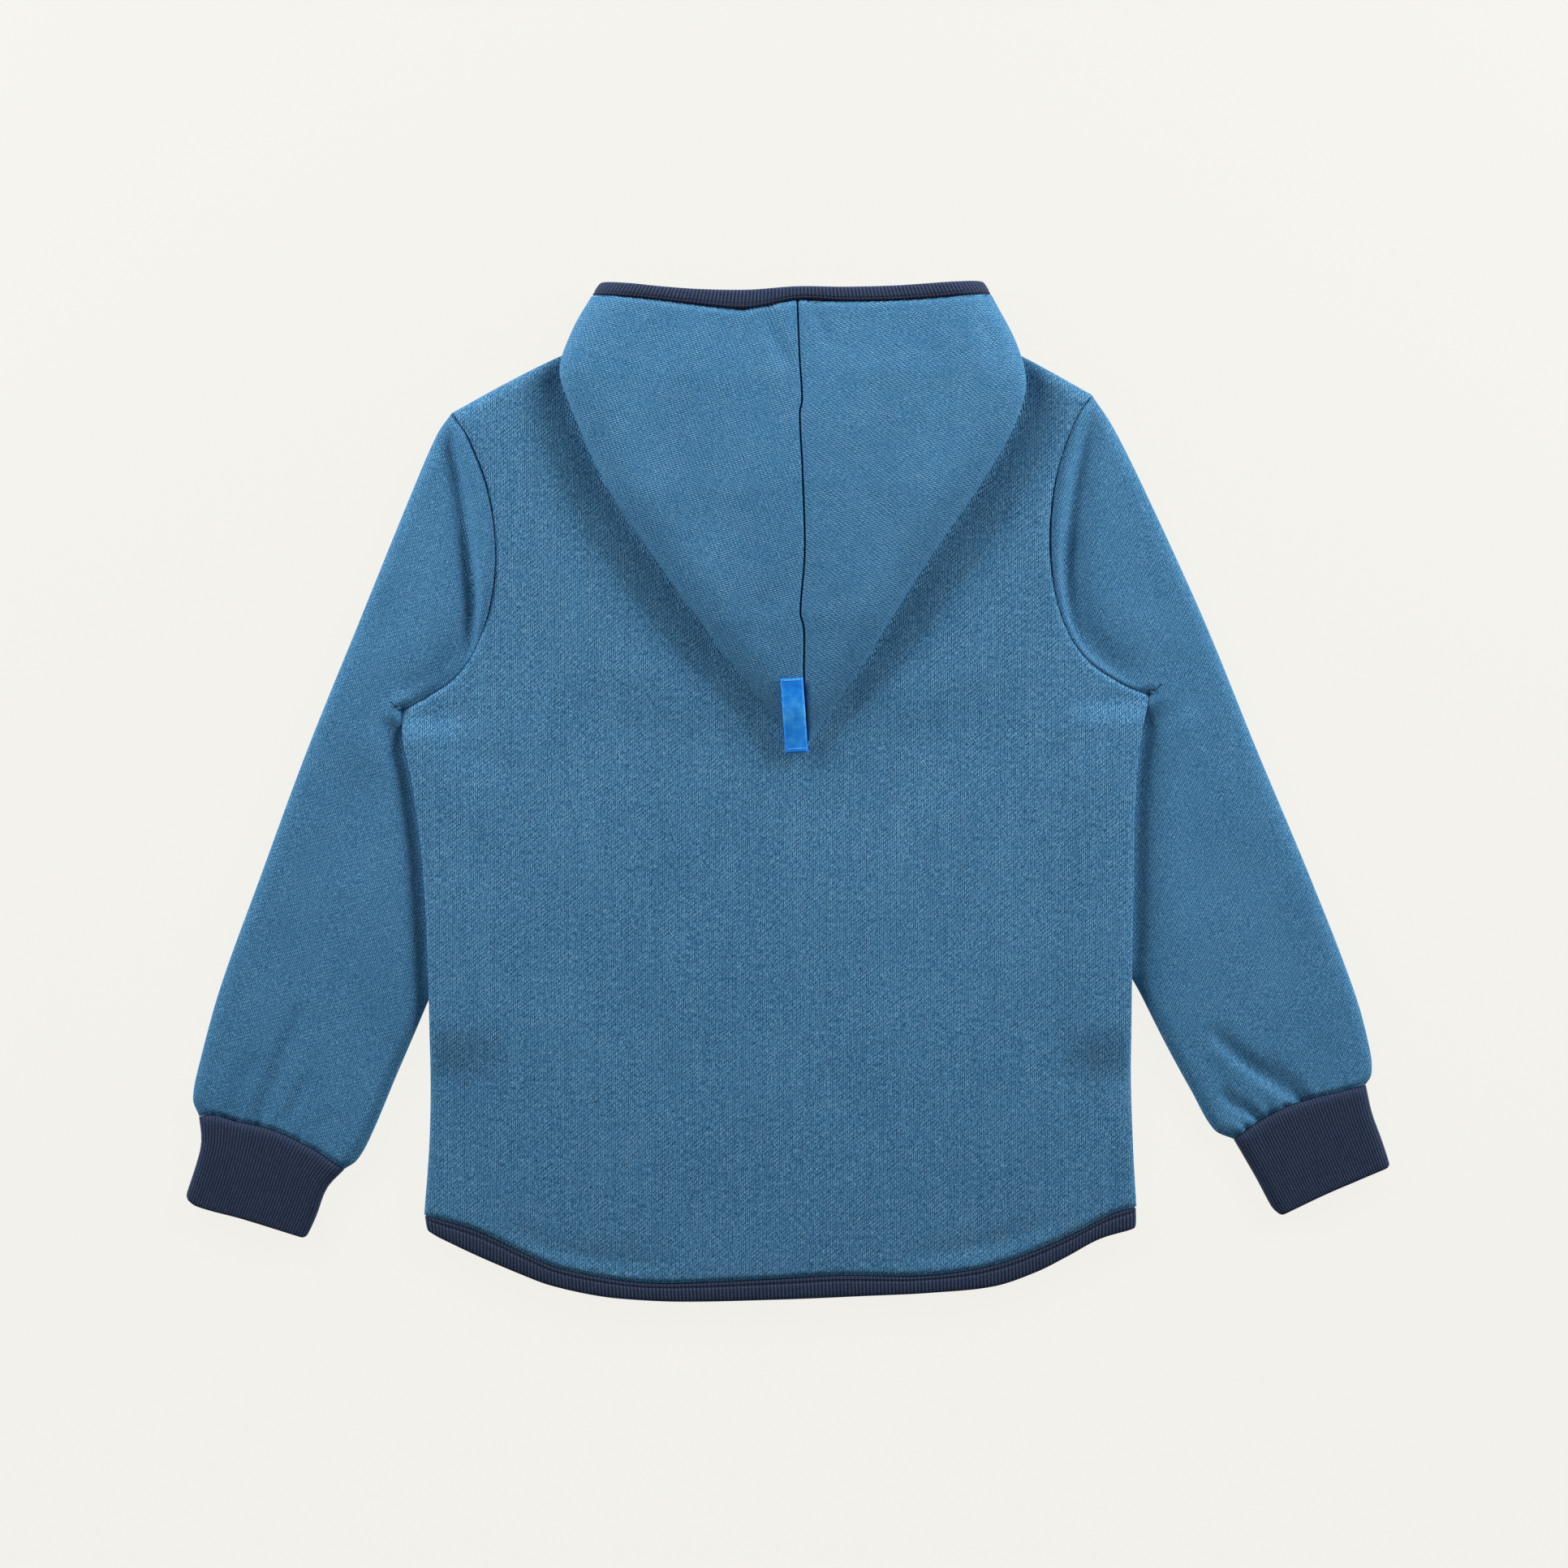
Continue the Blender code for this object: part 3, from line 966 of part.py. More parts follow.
# ---- the jacket -----------------------------------------------------------------------------------------
def build():
    """Make every piece."""
    back = back_grid()
    number = numbering(back)
    left_neck, right_neck = (int(np.argmin(abs(BACK_COLUMNS - u))) for u in (NECK_LEFT, NECK_RIGHT))
    sheet("back", sweat_knit("back"), back, CLOTH,
          level=(number[:SIDE_ROWS, 0], number[:SIDE_ROWS, -1], number[-1, :left_neck + 1],
                 number[-1, right_neck:]),
          square=(number[SIDE_ROWS - 1:, 0], number[SIDE_ROWS - 1:, -1], number[0],
                  number[-1, left_neck:right_neck + 1]))
    fronts = {}
    for side in OUTLINES:
        grid, thick = front_grid(side)
        fronts[side] = grid
        number = numbering(grid)
        neck = grid.shape[1] - len(FRONT_NECK) - 1
        sheet(f"front_{side}", sweat_knit(f"front {side}"), grid, thick, flip=side == "left",
              level=(number[:SIDE_ROWS, 0], number[-1, :neck + 1]),
              square=(number[SIDE_ROWS - 1:, 0], number[0], number[-1, neck:], number[:, -1]))
    for side in OUTLINES:
        cuff(side, *sleeve(side))
    hem_pieces(back, fronts)
    hoods = {side: hood(side) for side in OUTLINES}
    left = face_edge("left", hoods["left"], HOOD_RIBS)
    right = face_edge("right", hoods["right"], HOOD_RIBS)
    stations = [np.concatenate((a[::-1], b[1:])) for a, b in zip(left, right)]
    binding("hood_binding", *stations)
    label(hoods)
    zip_parts()


for old in list(bpy.data.objects):
    bpy.data.objects.remove(old, do_unlink=True)
JACKET = bpy.data.collections.new("hooded sweat jacket")
bpy.context.scene.collection.children.link(JACKET)
build()
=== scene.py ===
# %% [markdown]
# # A child's hooded sweat jacket, laid flat on its front
# The jacket lies back up with its hood folded down on its back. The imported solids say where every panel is;
# this lesson gives each of them a finer skin, its ribs, seams and folds, and the look of brushed sweat knit.
# Lengths below are millimetres until a mesh is made, +X is the wearer's right and +Y points to the hood.

import bpy
import numpy as np
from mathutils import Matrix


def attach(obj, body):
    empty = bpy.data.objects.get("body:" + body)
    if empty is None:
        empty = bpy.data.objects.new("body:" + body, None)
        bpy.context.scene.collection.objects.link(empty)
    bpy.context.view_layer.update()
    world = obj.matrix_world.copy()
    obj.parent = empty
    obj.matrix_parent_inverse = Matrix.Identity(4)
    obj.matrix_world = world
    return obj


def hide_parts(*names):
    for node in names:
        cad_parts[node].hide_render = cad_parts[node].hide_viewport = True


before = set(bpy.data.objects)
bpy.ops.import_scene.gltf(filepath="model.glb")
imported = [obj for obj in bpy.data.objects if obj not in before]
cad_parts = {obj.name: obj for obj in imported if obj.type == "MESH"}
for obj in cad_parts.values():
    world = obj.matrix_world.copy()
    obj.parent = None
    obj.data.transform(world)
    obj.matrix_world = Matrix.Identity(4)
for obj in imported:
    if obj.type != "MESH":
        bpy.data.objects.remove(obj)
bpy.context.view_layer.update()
MM = 0.001
print("solids:", ", ".join(sorted(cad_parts)))

# %% [markdown]
# ## The outlines
# Every panel hangs on a few seam and fold lines. They are the same lines that the solids were cut from:
# side folds, armholes, shoulders, sleeve folds, cuffs, hood folds and hem. A line is drawn as a smooth curve
# through its points, so it needs only the points at which its bend changes.

# %% Outlines, millimetres
NECK_Y = 250.0
OUTLINES = {
    "left": {
        "side": ((-193.1, -224.7), (-190.3, -185.0), (-189.8, -146.0), (-191.2, -84.7), (-194.1, -34.3),
                 (-199.8, 7.4), (-203.6, 23.8), (-205.6, 42.0)),
        "armhole": ((-205.6, 42.0), (-189.5, 51.0), (-176.9, 59.8), (-166.8, 73.7), (-158.5, 96.3),
                    (-155.1, 125.3), (-158.5, 158.2), (-169.3, 187.2), (-178.4, 200.8)),
        "shoulder": ((-178.4, 200.8), (-149.0, 217.0), (-120.0, 231.3), (-74.0, NECK_Y)),
        "front_neck": ((-74.0, NECK_Y), (-66.0, 231.0), (-48.0, 211.0), (-24.0, 198.0), (1.4, 192.0)),
        "sleeve_outer": ((-178.4, 200.8), (-186.0, 190.0), (-199.5, 159.1), (-227.5, 90.3), (-255.4, 21.5),
                         (-280.8, -47.3), (-301.0, -103.0), (-311.8, -141.9), (-315.9, -163.0),
                         (-312.6, -172.4)),
        "sleeve_inner": ((-204.7, 42.9), (-203.2, 33.0), (-199.4, 21.0), (-193.5, 8.0), (-186.0, -14.0),
                         (-181.0, -45.0), (-181.5, -86.0), (-193.1, -116.1), (-207.7, -150.5),
                         (-222.3, -184.9), (-229.0, -196.0), (-235.5, -200.5)),
        "cuff_seam": ((-312.6, -172.4), (-303.9, -171.6), (-293.5, -174.7), (-273.9, -179.3),
                      (-250.9, -190.2), (-235.5, -200.5)),
        "cuff_outer": ((-312.6, -172.4), (-311.4, -185.1), (-313.1, -194.3), (-320.0, -215.6)),
        "cuff_inner": ((-235.5, -200.5), (-244.6, -210.4), (-250.3, -225.3), (-255.6, -237.4)),
        "cuff_end": ((-320.0, -215.6), (-313.5, -220.2), (-289.0, -227.0), (-255.6, -237.4)),
        "hood_fold": ((10.3, 22.6), (-3.0, 34.9), (-24.9, 61.2), (-51.3, 96.3), (-74.0, 127.9),
                      (-96.0, 161.3), (-116.2, 206.2), (-120.8, 223.6), (-114.0, 245.1), (-104.2, 262.7)),
        "hood_edge": ((4.9, 259.4), (-7.4, 257.1), (-21.5, 254.4), (-35.4, 255.0), (-67.1, 258.9),
                      (-104.2, 262.7)),
        "binding_edge": ((4.9, 266.7), (-14.4, 265.0), (-35.4, 264.8), (-60.2, 265.9), (-99.0, 270.2)),
        "face_front": ((-75.0, 257.5), (-53.0, 249.5), (-25.0, 227.0), (-10.5, 206.0)),
    },
    "right": {
        "side": ((184.9, -220.2), (183.2, -190.0), (181.9, -144.0), (183.0, -59.3), (184.3, 1.1),
                 (188.1, 33.8), (192.5, 50.5)),
        "armhole": ((192.5, 50.5), (176.2, 57.4), (157.3, 71.1), (145.0, 93.0), (138.8, 126.6),
                    (141.5, 163.2), (152.2, 196.1), (161.1, 210.5)),
        "shoulder": ((161.1, 210.5), (142.0, 221.3), (123.0, 231.5), (84.0, NECK_Y)),
        "front_neck": ((84.0, NECK_Y), (78.0, 231.0), (60.0, 211.0), (36.0, 198.0), (10.6, 192.0)),
        "sleeve_outer": ((161.1, 210.5), (172.4, 193.5), (189.6, 159.1), (221.0, 90.3), (249.0, 21.5),
                         (277.8, -47.3), (301.0, -107.5), (309.2, -139.0), (309.6, -150.5),
                         (306.6, -155.6)),
        "sleeve_inner": ((191.6, 51.3), (188.6, 42.0), (184.6, 28.0), (178.0, 12.0), (172.5, -14.0),
                         (169.5, -45.0), (173.0, -80.0), (187.1, -107.5), (200.0, -133.3),
                         (214.1, -159.1), (226.0, -179.5), (236.5, -184.6)),
        "cuff_seam": ((306.6, -155.6), (292.3, -159.1), (272.1, -164.4), (259.7, -169.2),
                      (247.0, -176.5), (236.5, -184.6)),
        "cuff_outer": ((306.6, -155.6), (309.9, -170.4), (314.8, -183.9), (320.0, -199.0)),
        "cuff_inner": ((236.5, -184.6), (248.4, -205.2), (257.4, -222.1), (260.6, -225.6)),
        "cuff_end": ((320.0, -199.0), (301.3, -206.9), (284.4, -214.2), (260.6, -225.6)),
        "hood_fold": ((10.3, 22.6), (19.8, 38.4), (34.7, 59.5), (52.3, 87.5), (73.4, 120.9), (101.4, 161.3),
                      (119.0, 192.1), (125.8, 215.0), (121.0, 237.0), (107.9, 263.2)),
        "hood_edge": ((4.9, 259.4), (20.6, 258.5), (59.3, 258.9), (107.9, 263.2)),
        "binding_edge": ((4.9, 266.7), (41.7, 266.4), (75.0, 268.2), (103.0, 270.7)),
        "face_front": ((85.0, 257.5), (65.0, 249.5), (37.0, 227.0), (22.5, 206.0)),
    },
}
BACK_NECK = ((-74.0, NECK_Y), (-40.0, 243.0), (6.0, 240.0), (48.0, 243.0), (84.0, NECK_Y))
HOOD_SEAM = ((10.3, 22.6), (8.4, 61.2), (8.4, 85.8), (6.5, 94.0), (8.8, 126.2), (7.6, 169.4), (6.2, 200.0),
             (7.4, 206.0), (6.1, 229.0), (4.9, 259.4))
HEM_SEAM = ((-193.1, -224.7), (-164.7, -233.1), (-139.5, -245.1), (-121.8, -252.7), (-89.0, -259.3),
            (-63.8, -260.9), (-4.7, -258.4), (27.0, -256.7), (72.7, -256.7), (110.3, -250.9),
            (145.3, -237.4), (172.0, -224.0), (184.9, -220.2))
HEM_EDGE = ((-191.5, -233.6), (-164.7, -246.4), (-139.5, -257.1), (-126.9, -261.8), (-106.6, -266.6),
            (-89.0, -269.1), (-57.4, -270.7), (-4.7, -269.6), (40.4, -267.7), (74.0, -266.1),
            (109.0, -262.6), (131.8, -254.9), (147.9, -246.8), (165.4, -237.4), (184.9, -231.8))
ZIP_LINE = ((-5.0, -264.0), (6.0, 192.0))
print("outlines a side:", len(OUTLINES["left"]))

# %% [markdown]
# ## Curves and grids
# A panel is a grid of points stretched between four curves, a Coons patch. Small tools make it: above all a
# smooth curve through points, points at shares of its length, and the nearest distance from any point to
# a curve. Distance is what shapes the cloth: it rounds over near a fold and sinks towards a seam.


# %% Curve tools
def smooth_curve(points, per_span=10):
    """Cubic Hermite spans through the points; each tangent joins the two neighbours, scaled by chord."""
    p = np.array(points, float)
    p = np.vstack((2 * p[0] - p[1], p, 2 * p[-1] - p[-2]))
    t = np.linspace(0, 1, per_span, endpoint=False)[:, None]
    spans = []
    for a, b, c, d in zip(p, p[1:], p[2:], p[3:]):
        chord = np.linalg.norm(c - b)
        start = (c - a) * chord / (np.linalg.norm(b - a) + chord)
        end = (d - b) * chord / (np.linalg.norm(d - c) + chord)
        spans.append((2 * t**3 - 3 * t**2 + 1) * b + (t**3 - 2 * t**2 + t) * start
                     + (3 * t**2 - 2 * t**3) * c + (t**3 - t**2) * end)
    return np.vstack((*spans, p[-2:-1]))


def lengths(line):
    """Distance along a polyline at each of its points."""
    return np.concatenate(([0.0], np.cumsum(np.linalg.norm(np.diff(line, axis=0), axis=1))))


def read_line(line, run, want):
    """Points of a polyline where its run, a rising number at each of its points, reaches what is wanted."""
    return np.stack([np.interp(want, run, line[:, k]) for k in range(line.shape[1])], axis=-1)


def along(line, share):
    """Points at these shares of a polyline's length."""
    run = lengths(line)
    return read_line(line, run, np.asarray(share, float) * run[-1])


def unit(rows):
    """The same directions with a length of 1."""
    return rows / np.linalg.norm(rows, axis=-1, keepdims=True)


def leftward(line):
    """Unit plan normals of a polyline, to the left of its direction."""
    tangent = np.gradient(line[:, :2], axis=0)
    return unit(np.stack((-tangent[:, 1], tangent[:, 0]), axis=1))


def raised(plan, height):
    """Plan points with their heights."""
    return np.concatenate((plan, np.broadcast_to(height, plan.shape[:-1])[..., None]), axis=-1)


def nearest(points, line):
    """Plan distance from each point to a polyline, how far along it the nearest place lies, and whether the
    point is to the left of it."""
    flat = points[..., :2].reshape(-1, 2)
    gap = np.full(len(flat), np.inf)
    run, left_of = np.zeros(len(flat)), np.zeros(len(flat), bool)
    for start, a, b in zip(lengths(line), line[:-1, :2], line[1:, :2]):
        share = np.clip((flat - a) @ (b - a) / ((b - a) @ (b - a)), 0, 1)
        here = np.linalg.norm(flat - a - share[:, None] * (b - a), axis=1)
        cross = (b - a)[0] * (flat - a)[:, 1] - (b - a)[1] * (flat - a)[:, 0]
        run = np.where(here < gap, start + share * np.linalg.norm(b - a), run)
        left_of = np.where(here < gap, cross > 0, left_of)
        gap = np.minimum(gap, here)
    return (values.reshape(points.shape[:-1]) for values in (gap, run, left_of))


def distance(points, line):
    """Plan distance from each point to a polyline."""
    gap, _, _ = nearest(points, line)
    return gap


def ease(x):
    """0 below 0, 1 above 1, and smooth between."""
    x = np.clip(x, 0, 1)
    return x * x * (3 - 2 * x)


def bump(x):
    """A bell that is 1 at 0 and falls off past 1."""
    return np.exp(-(x**2))


def coons(bottom, top, left, right, u, v):
    """Blend of four boundary curves: left to right by u, bottom to top by v, less the corners' share."""
    v = np.asarray(v)[:, None, None]
    w = np.asarray(u)[..., None]
    corners = ((1 - w) * (1 - v) * left[0] + w * (1 - v) * right[0]
               + (1 - w) * v * left[-1] + w * v * right[-1])
    return (1 - w) * left[:, None] + w * right[:, None] + (1 - v) * bottom + v * top - corners


def moved_away(line, point, amount):
    """A plan curve moved sideways, away from a point beside it."""
    normal = leftward(line)
    side = np.sign((normal * (line - np.asarray(point))).sum(1))
    return line + normal * side[:, None] * amount


CLOSE = np.array((0.0, 0.35, 0.8, 1.4, 2.2, 3.2, 4.6, 6.2, 7.8, 9.4, 11.0, 12.8, 15.0))


def spaced(run, step, start=True, end=True):
    """Shares of a run: even steps of about this size, and close ones near the chosen ends."""
    low = CLOSE if start else CLOSE[:1]
    high = run - (CLOSE[::-1] if end else CLOSE[:1])
    count = max(int(round((high[0] - low[-1]) / step)), 1)
    return np.concatenate((low, np.linspace(low[-1], high[0], count + 1)[1:-1], high)) / run


CURVES = {side: {key: smooth_curve(points) for key, points in table.items()}
          for side, table in OUTLINES.items()}
SIDE, ARMHOLE, SHOULDER, CUFF_SEAM = ({side: CURVES[side][key] for side in CURVES}
                                      for key in ("side", "armhole", "shoulder", "cuff_seam"))
CENTRE_SEAM, HEM_SEAM_CURVE, HEM_EDGE_CURVE = map(smooth_curve, (HOOD_SEAM, HEM_SEAM, HEM_EDGE))
BODY_MIDDLE, CHEST_Y = (0.0, 100.0), 150.0       # a place inside the body, and a height on the chest
print("armhole, mm:", {side: round(float(lengths(line)[-1])) for side, line in ARMHOLE.items()})

# %% [markdown]
# ## Colours and nodes
# Colours are given as sRGB hex values and turned to linear light once. One helper adds a shader node, its
# settings and its links. A few more set the colour, the bump and the coordinates that every finish needs,
# so that each finish below reads like a recipe.


# %% Colour and node helpers
def linear(hex_colour):
    """Linear RGBA of an sRGB hex colour."""
    s = np.array([int(hex_colour[k:k + 2], 16) for k in (1, 3, 5)]) / 255
    return (*np.where(s <= 0.04045, s / 12.92, ((s + 0.055) / 1.055) ** 2.4).tolist(), 1.0)


def node(tree, kind, links=None, **settings):
    """Add a node; settings are its properties, links are its inputs by name or number."""
    made = tree.nodes.new(kind)
    for key, value in settings.items():
        setattr(made, key, value)
    for key, value in (links or {}).items():
        if isinstance(value, bpy.types.NodeSocket):
            tree.links.new(value, made.inputs[key])
        else:
            made.inputs[key].default_value = value
    return made


def new_material(name):
    """A new material and its node tree."""
    material = bpy.data.materials.new(name)
    material.use_nodes = True
    return material, material.node_tree


def shade(material, colour, **numbers):
    """Give the Principled shader its colour, a link or a value, and its numbers: Roughness=0.9 and the like,
    with _ for a space."""
    shader = material.node_tree.nodes["Principled BSDF"]
    if isinstance(colour, bpy.types.NodeSocket):
        material.node_tree.links.new(colour, shader.inputs["Base Color"])
    else:
        shader.inputs["Base Color"].default_value = colour
    for key, value in numbers.items():
        shader.inputs[key.replace("_", " ")].default_value = value


def rough(material, height, depth, strength=0.4):
    """Bump the surface by a height, this many millimetres deep."""
    tree = material.node_tree
    surface = node(tree, "ShaderNodeBump", {"Strength": strength, "Distance": depth * MM, "Height": height})
    tree.links.new(surface.outputs[0], tree.nodes["Principled BSDF"].inputs["Normal"])
    return material


def on_map(tree):
    """Place on the piece's UV map, in metres."""
    return node(tree, "ShaderNodeUVMap", uv_map="grain").outputs["UV"]


def in_piece(tree):
    """Place in the piece, in metres."""
    return node(tree, "ShaderNodeTexCoord").outputs["Object"]


def across_and_up(tree):
    """The two coordinates on the UV map: across the grain and along it."""
    apart = node(tree, "ShaderNodeSeparateXYZ", {0: on_map(tree)}).outputs
    return apart["X"], apart["Y"]


def ramp(tree, factor, stops):
    """A colour ramp from (place, hex) stops; returns its colour."""
    made = node(tree, "ShaderNodeValToRGB", {0: factor})
    elements = made.color_ramp.elements
    while len(elements) < len(stops):
        elements.new(0.5)
    for element, (place, colour) in zip(elements, stops):
        element.position = place
        element.color = linear(colour)
    return made.outputs["Color"]


def math(tree, operation, *values):
    """One Math node; returns its value."""
    return node(tree, "ShaderNodeMath", dict(enumerate(values)), operation=operation).outputs[0]


def wave(tree, place, length, kind="SINE"):
    """A wave along a coordinate that repeats after this many millimetres."""
    return math(tree, kind, math(tree, "MULTIPLY", place, 2 * np.pi / (length * MM)))


print("linear of #427294:", [round(c, 3) for c in linear("#427294")])

# %% [markdown]
# ## Brushed sweat knit
# The cloth is a heathered cotton sweat knit: fine jersey loops on the outside, brushed inside. The eye gets
# three things from it. Columns of stitches a millimetre apart run up the panel, and because every stitch
# leans, two sets of finer slanting lines cross them. Light and dark fibres are spun together, so the blue
# is speckled. And the yarn is uneven, which leaves short slubs and faint streaks. So the pattern is three
# sets of waves, noise for the fibres and stretched noise for the slubs, on the panel's own UV map, in
# metres, turned to the panel's grain. The sleeves and the hood are cut from the same cloth but show it more
# evenly, so they have quieter slubs and streaks.

# %% Sweat knit finish
# Line sets: direction in which they repeat, degrees from across the columns; distance apart, mm; strength.
STITCH_LINES = ((0.0, 1.0, 0.21), (34.0, 1.2, 0.12), (-52.0, 1.72, 0.08))
WOBBLE = 0.5         # mm by which the lines wander
FIBRE = 0.6          # mm, size of the specks of light and dark fibre
DASH = 1.0, 2.4      # mm across and along a column: one slub of thicker yarn
STREAK = 2.7, 60.0   # mm from one strong column to the next, and along it
DRIFT, FADE, CLOUD = 7.0, 9.0, 45.0      # mm, sizes: how lines wander, how they fade, and the slow shade
BLUES = ((0.0, "#0c3250"), (0.5, "#386e96"), (1.0, "#80b4d6"))
HOOD_BLUES = ((0.0, "#133a58"), (0.5, "#366d96"), (1.0, "#7cb0d2"))


def noise(tree, vector, size, roughness=0.6):
    """Noise about 0 whose features are this many millimetres across."""
    made = node(tree, "ShaderNodeTexNoise", {"Vector": vector, "Scale": 1 / (size * MM), "Detail": 2.0,
                                             "Roughness": roughness})
    return math(tree, "SUBTRACT", made.outputs["Fac"], 0.5)


def lines(tree, place, direction, apart):
    """A sine across a set of parallel lines: repeats along the direction, this many millimetres apart."""
    turn = np.radians(direction)
    rate = 2 * np.pi / (apart * MM)
    dot = node(tree, "ShaderNodeVectorMath", {0: place, 1: (rate * np.cos(turn), rate * np.sin(turn), 0.0)},
               operation="DOT_PRODUCT").outputs["Value"]
    return math(tree, "SINE", dot)


def stretched(tree, flat, size, length):
    """Noise about 0 in flecks this wide and this long along the grain, in millimetres."""
    long = node(tree, "ShaderNodeMapping", {"Vector": flat, "Scale": (1.0, size / length, 1.0)}).outputs[0]
    return noise(tree, long, size)


def sweat_knit(name, blues=BLUES, dashes=1.0, streaks=0.2, stitches=1.0):
    """Stitch lines that fade in and out, plus fibre specks and slubs, read through a ramp of blues."""
    material, tree = new_material(name)
    flat, solid = on_map(tree), in_piece(tree)
    drift = node(tree, "ShaderNodeTexNoise", {"Vector": solid, "Scale": 1 / (DRIFT * MM), "Detail": 1.0})
    shift = node(tree, "ShaderNodeVectorMath", {0: drift.outputs["Color"], 1: (WOBBLE * MM,) * 3},
                 operation="MULTIPLY").outputs[0]
    place = node(tree, "ShaderNodeVectorMath", {0: flat, 1: shift}, operation="ADD").outputs[0]
    fade = math(tree, "MULTIPLY_ADD", noise(tree, solid, FADE), 2.4 * stitches, stitches)
    stitch = 0.0
    for direction, apart, strength in STITCH_LINES:
        stitch = math(tree, "MULTIPLY_ADD", lines(tree, place, direction, apart), strength, stitch)
    stitch = math(tree, "MULTIPLY", stitch, fade)
    fibres = noise(tree, solid, FIBRE, roughness=0.8)
    tone = math(tree, "MULTIPLY_ADD", fibres, 1.5, 0.5)
    tone = math(tree, "MULTIPLY_ADD", stretched(tree, flat, *DASH), dashes, tone)
    tone = math(tree, "MULTIPLY_ADD", stretched(tree, flat, *STREAK), streaks, tone)
    tone = math(tree, "MULTIPLY_ADD", noise(tree, solid, CLOUD), 0.10, tone)
    tone = math(tree, "ADD", tone, stitch)
    shade(material, ramp(tree, tone, blues), Roughness=0.95, Specular_IOR_Level=0.12)
    return rough(material, math(tree, "MULTIPLY_ADD", stitch, 2.0, fibres), 0.12)


SWEAT_KNIT = sweat_knit("heathered sweat knit")
SLEEVE_KNIT = sweat_knit("heathered sweat knit, sleeves", dashes=0.45, streaks=0.08, stitches=0.6)
HOOD_KNIT = sweat_knit("heathered sweat knit, hood", HOOD_BLUES, dashes=0.4, streaks=0.08)
print("stitch columns in 400 mm:", round(400 / STITCH_LINES[0][1]))

# %% [markdown]
# ## Rib knit, satin, zip tape, thread and metal
# The cuffs and bindings are one by one rib in navy cotton. Their ribs are modelled, so the finish adds only
# fibres, loops and painted shade in the valleys; the bindings also get a painted shadow along the seam where
# they are sewn on. The label is woven satin: smooth, a little glossy, with threads across it and a painted
# gleam. The zip's tape is woven polyester, and its slider is nickel finished metal.

# %% Trim finishes
RIB_WIDTH = 1.8      # mm from rib to rib on the UV maps, about the middle of the real 1.5 to 2.0
RIB_LOOP = 1.1       # mm from loop to loop along a rib
# The satin's gleam is a painted highlight in its colour.
PAINTED_GLEAM = 48.0, -5.5   # mm over which the satin's gleam repeats, and its start in radians
NAVIES = ((0.0, "#10172a"), (0.5, "#26324b"), (1.0, "#485879"))


def rib_knit(name, valley_shade, strip=0.0):
    """Navy yarn: ribs with painted shade in their valleys, fibre noise, and a painted shadow strip this wide
    at the seam.
    """
    material, tree = new_material(name)
    across, up = across_and_up(tree)
    # Painted shade: the valleys between the modelled ribs are drawn darker.
    top = math(tree, "MULTIPLY", wave(tree, across, RIB_WIDTH, "COSINE"), -valley_shade)
    loops = wave(tree, up, RIB_LOOP)
    fibres = noise(tree, in_piece(tree), 0.8, roughness=0.8)
    tone = math(tree, "MULTIPLY_ADD", loops, 0.05, math(tree, "MULTIPLY_ADD", fibres, 0.9, 0.5))
    tone = math(tree, "ADD", tone, top)
    # Painted shadow: a darker strip along the seam, where the band sinks in.
    if strip:
        inside = math(tree, "LESS_THAN", up, strip * MM)
        tone = math(tree, "MULTIPLY_ADD", inside, -0.22, tone)
    shade(material, ramp(tree, tone, NAVIES), Roughness=0.9, Specular_IOR_Level=0.25)
    return rough(material, math(tree, "MULTIPLY_ADD", loops, 0.3, fibres), 0.15)


def satin_ribbon():
    """Woven satin: fine threads across the ribbon, half a millimetre apart so that they show, and a painted
    gleam, a highlight lighter across its middle."""
    material, tree = new_material("bright blue satin ribbon")
    _, up = across_and_up(tree)
    threads = wave(tree, up, 0.5)
    # Painted highlight: the colour is lighter across the ribbon's middle, a gleam drawn into it.
    painted_gleam = math(tree, "COSINE", math(tree, "MULTIPLY_ADD", up, 2 * np.pi / (PAINTED_GLEAM[0] * MM), PAINTED_GLEAM[1]))
    tone = math(tree, "MULTIPLY_ADD", threads, 0.12, math(tree, "ADD", noise(tree, in_piece(tree), 6.0), 0.5))
    tone = math(tree, "MULTIPLY_ADD", painted_gleam, 0.12, tone)
    brights = ramp(tree, tone, ((0.25, "#0a7ae0"), (0.5, "#1690fa"), (0.8, "#4db4ff")))
    shade(material, brights, Roughness=0.5, Specular_IOR_Level=0.3)
    return rough(material, threads, 0.08, 0.35)


def woven_tape():
    """Herringbone zip tape: two sets of slanting threads that change over in columns."""
    material, tree = new_material("navy woven zip tape")
    across, up = across_and_up(tree)
    slant = math(tree, "PINGPONG", across, 2.0 * MM)
    threads = wave(tree, math(tree, "ADD", slant, up), 0.7)
    tone = math(tree, "MULTIPLY_ADD", threads, 0.25, 0.5)
    shade(material, ramp(tree, tone, ((0.2, "#161d2c"), (0.8, "#2c384f"))), Roughness=0.8)
    return rough(material, threads, 0.12, 0.5)


def plain_finish(name, colours, grain, roughness, metallic=0.0):
    """One substance with a fine grain: noise between two colours and a shallow bump."""
    material, tree = new_material(name)
    grains = noise(tree, in_piece(tree), grain)
    colour = ramp(tree, math(tree, "ADD", grains, 0.5), ((0.3, colours[0]), (0.7, colours[1])))
    shade(material, colour, Roughness=roughness, Metallic=metallic)
    return rough(material, grains, 0.03, 0.3)


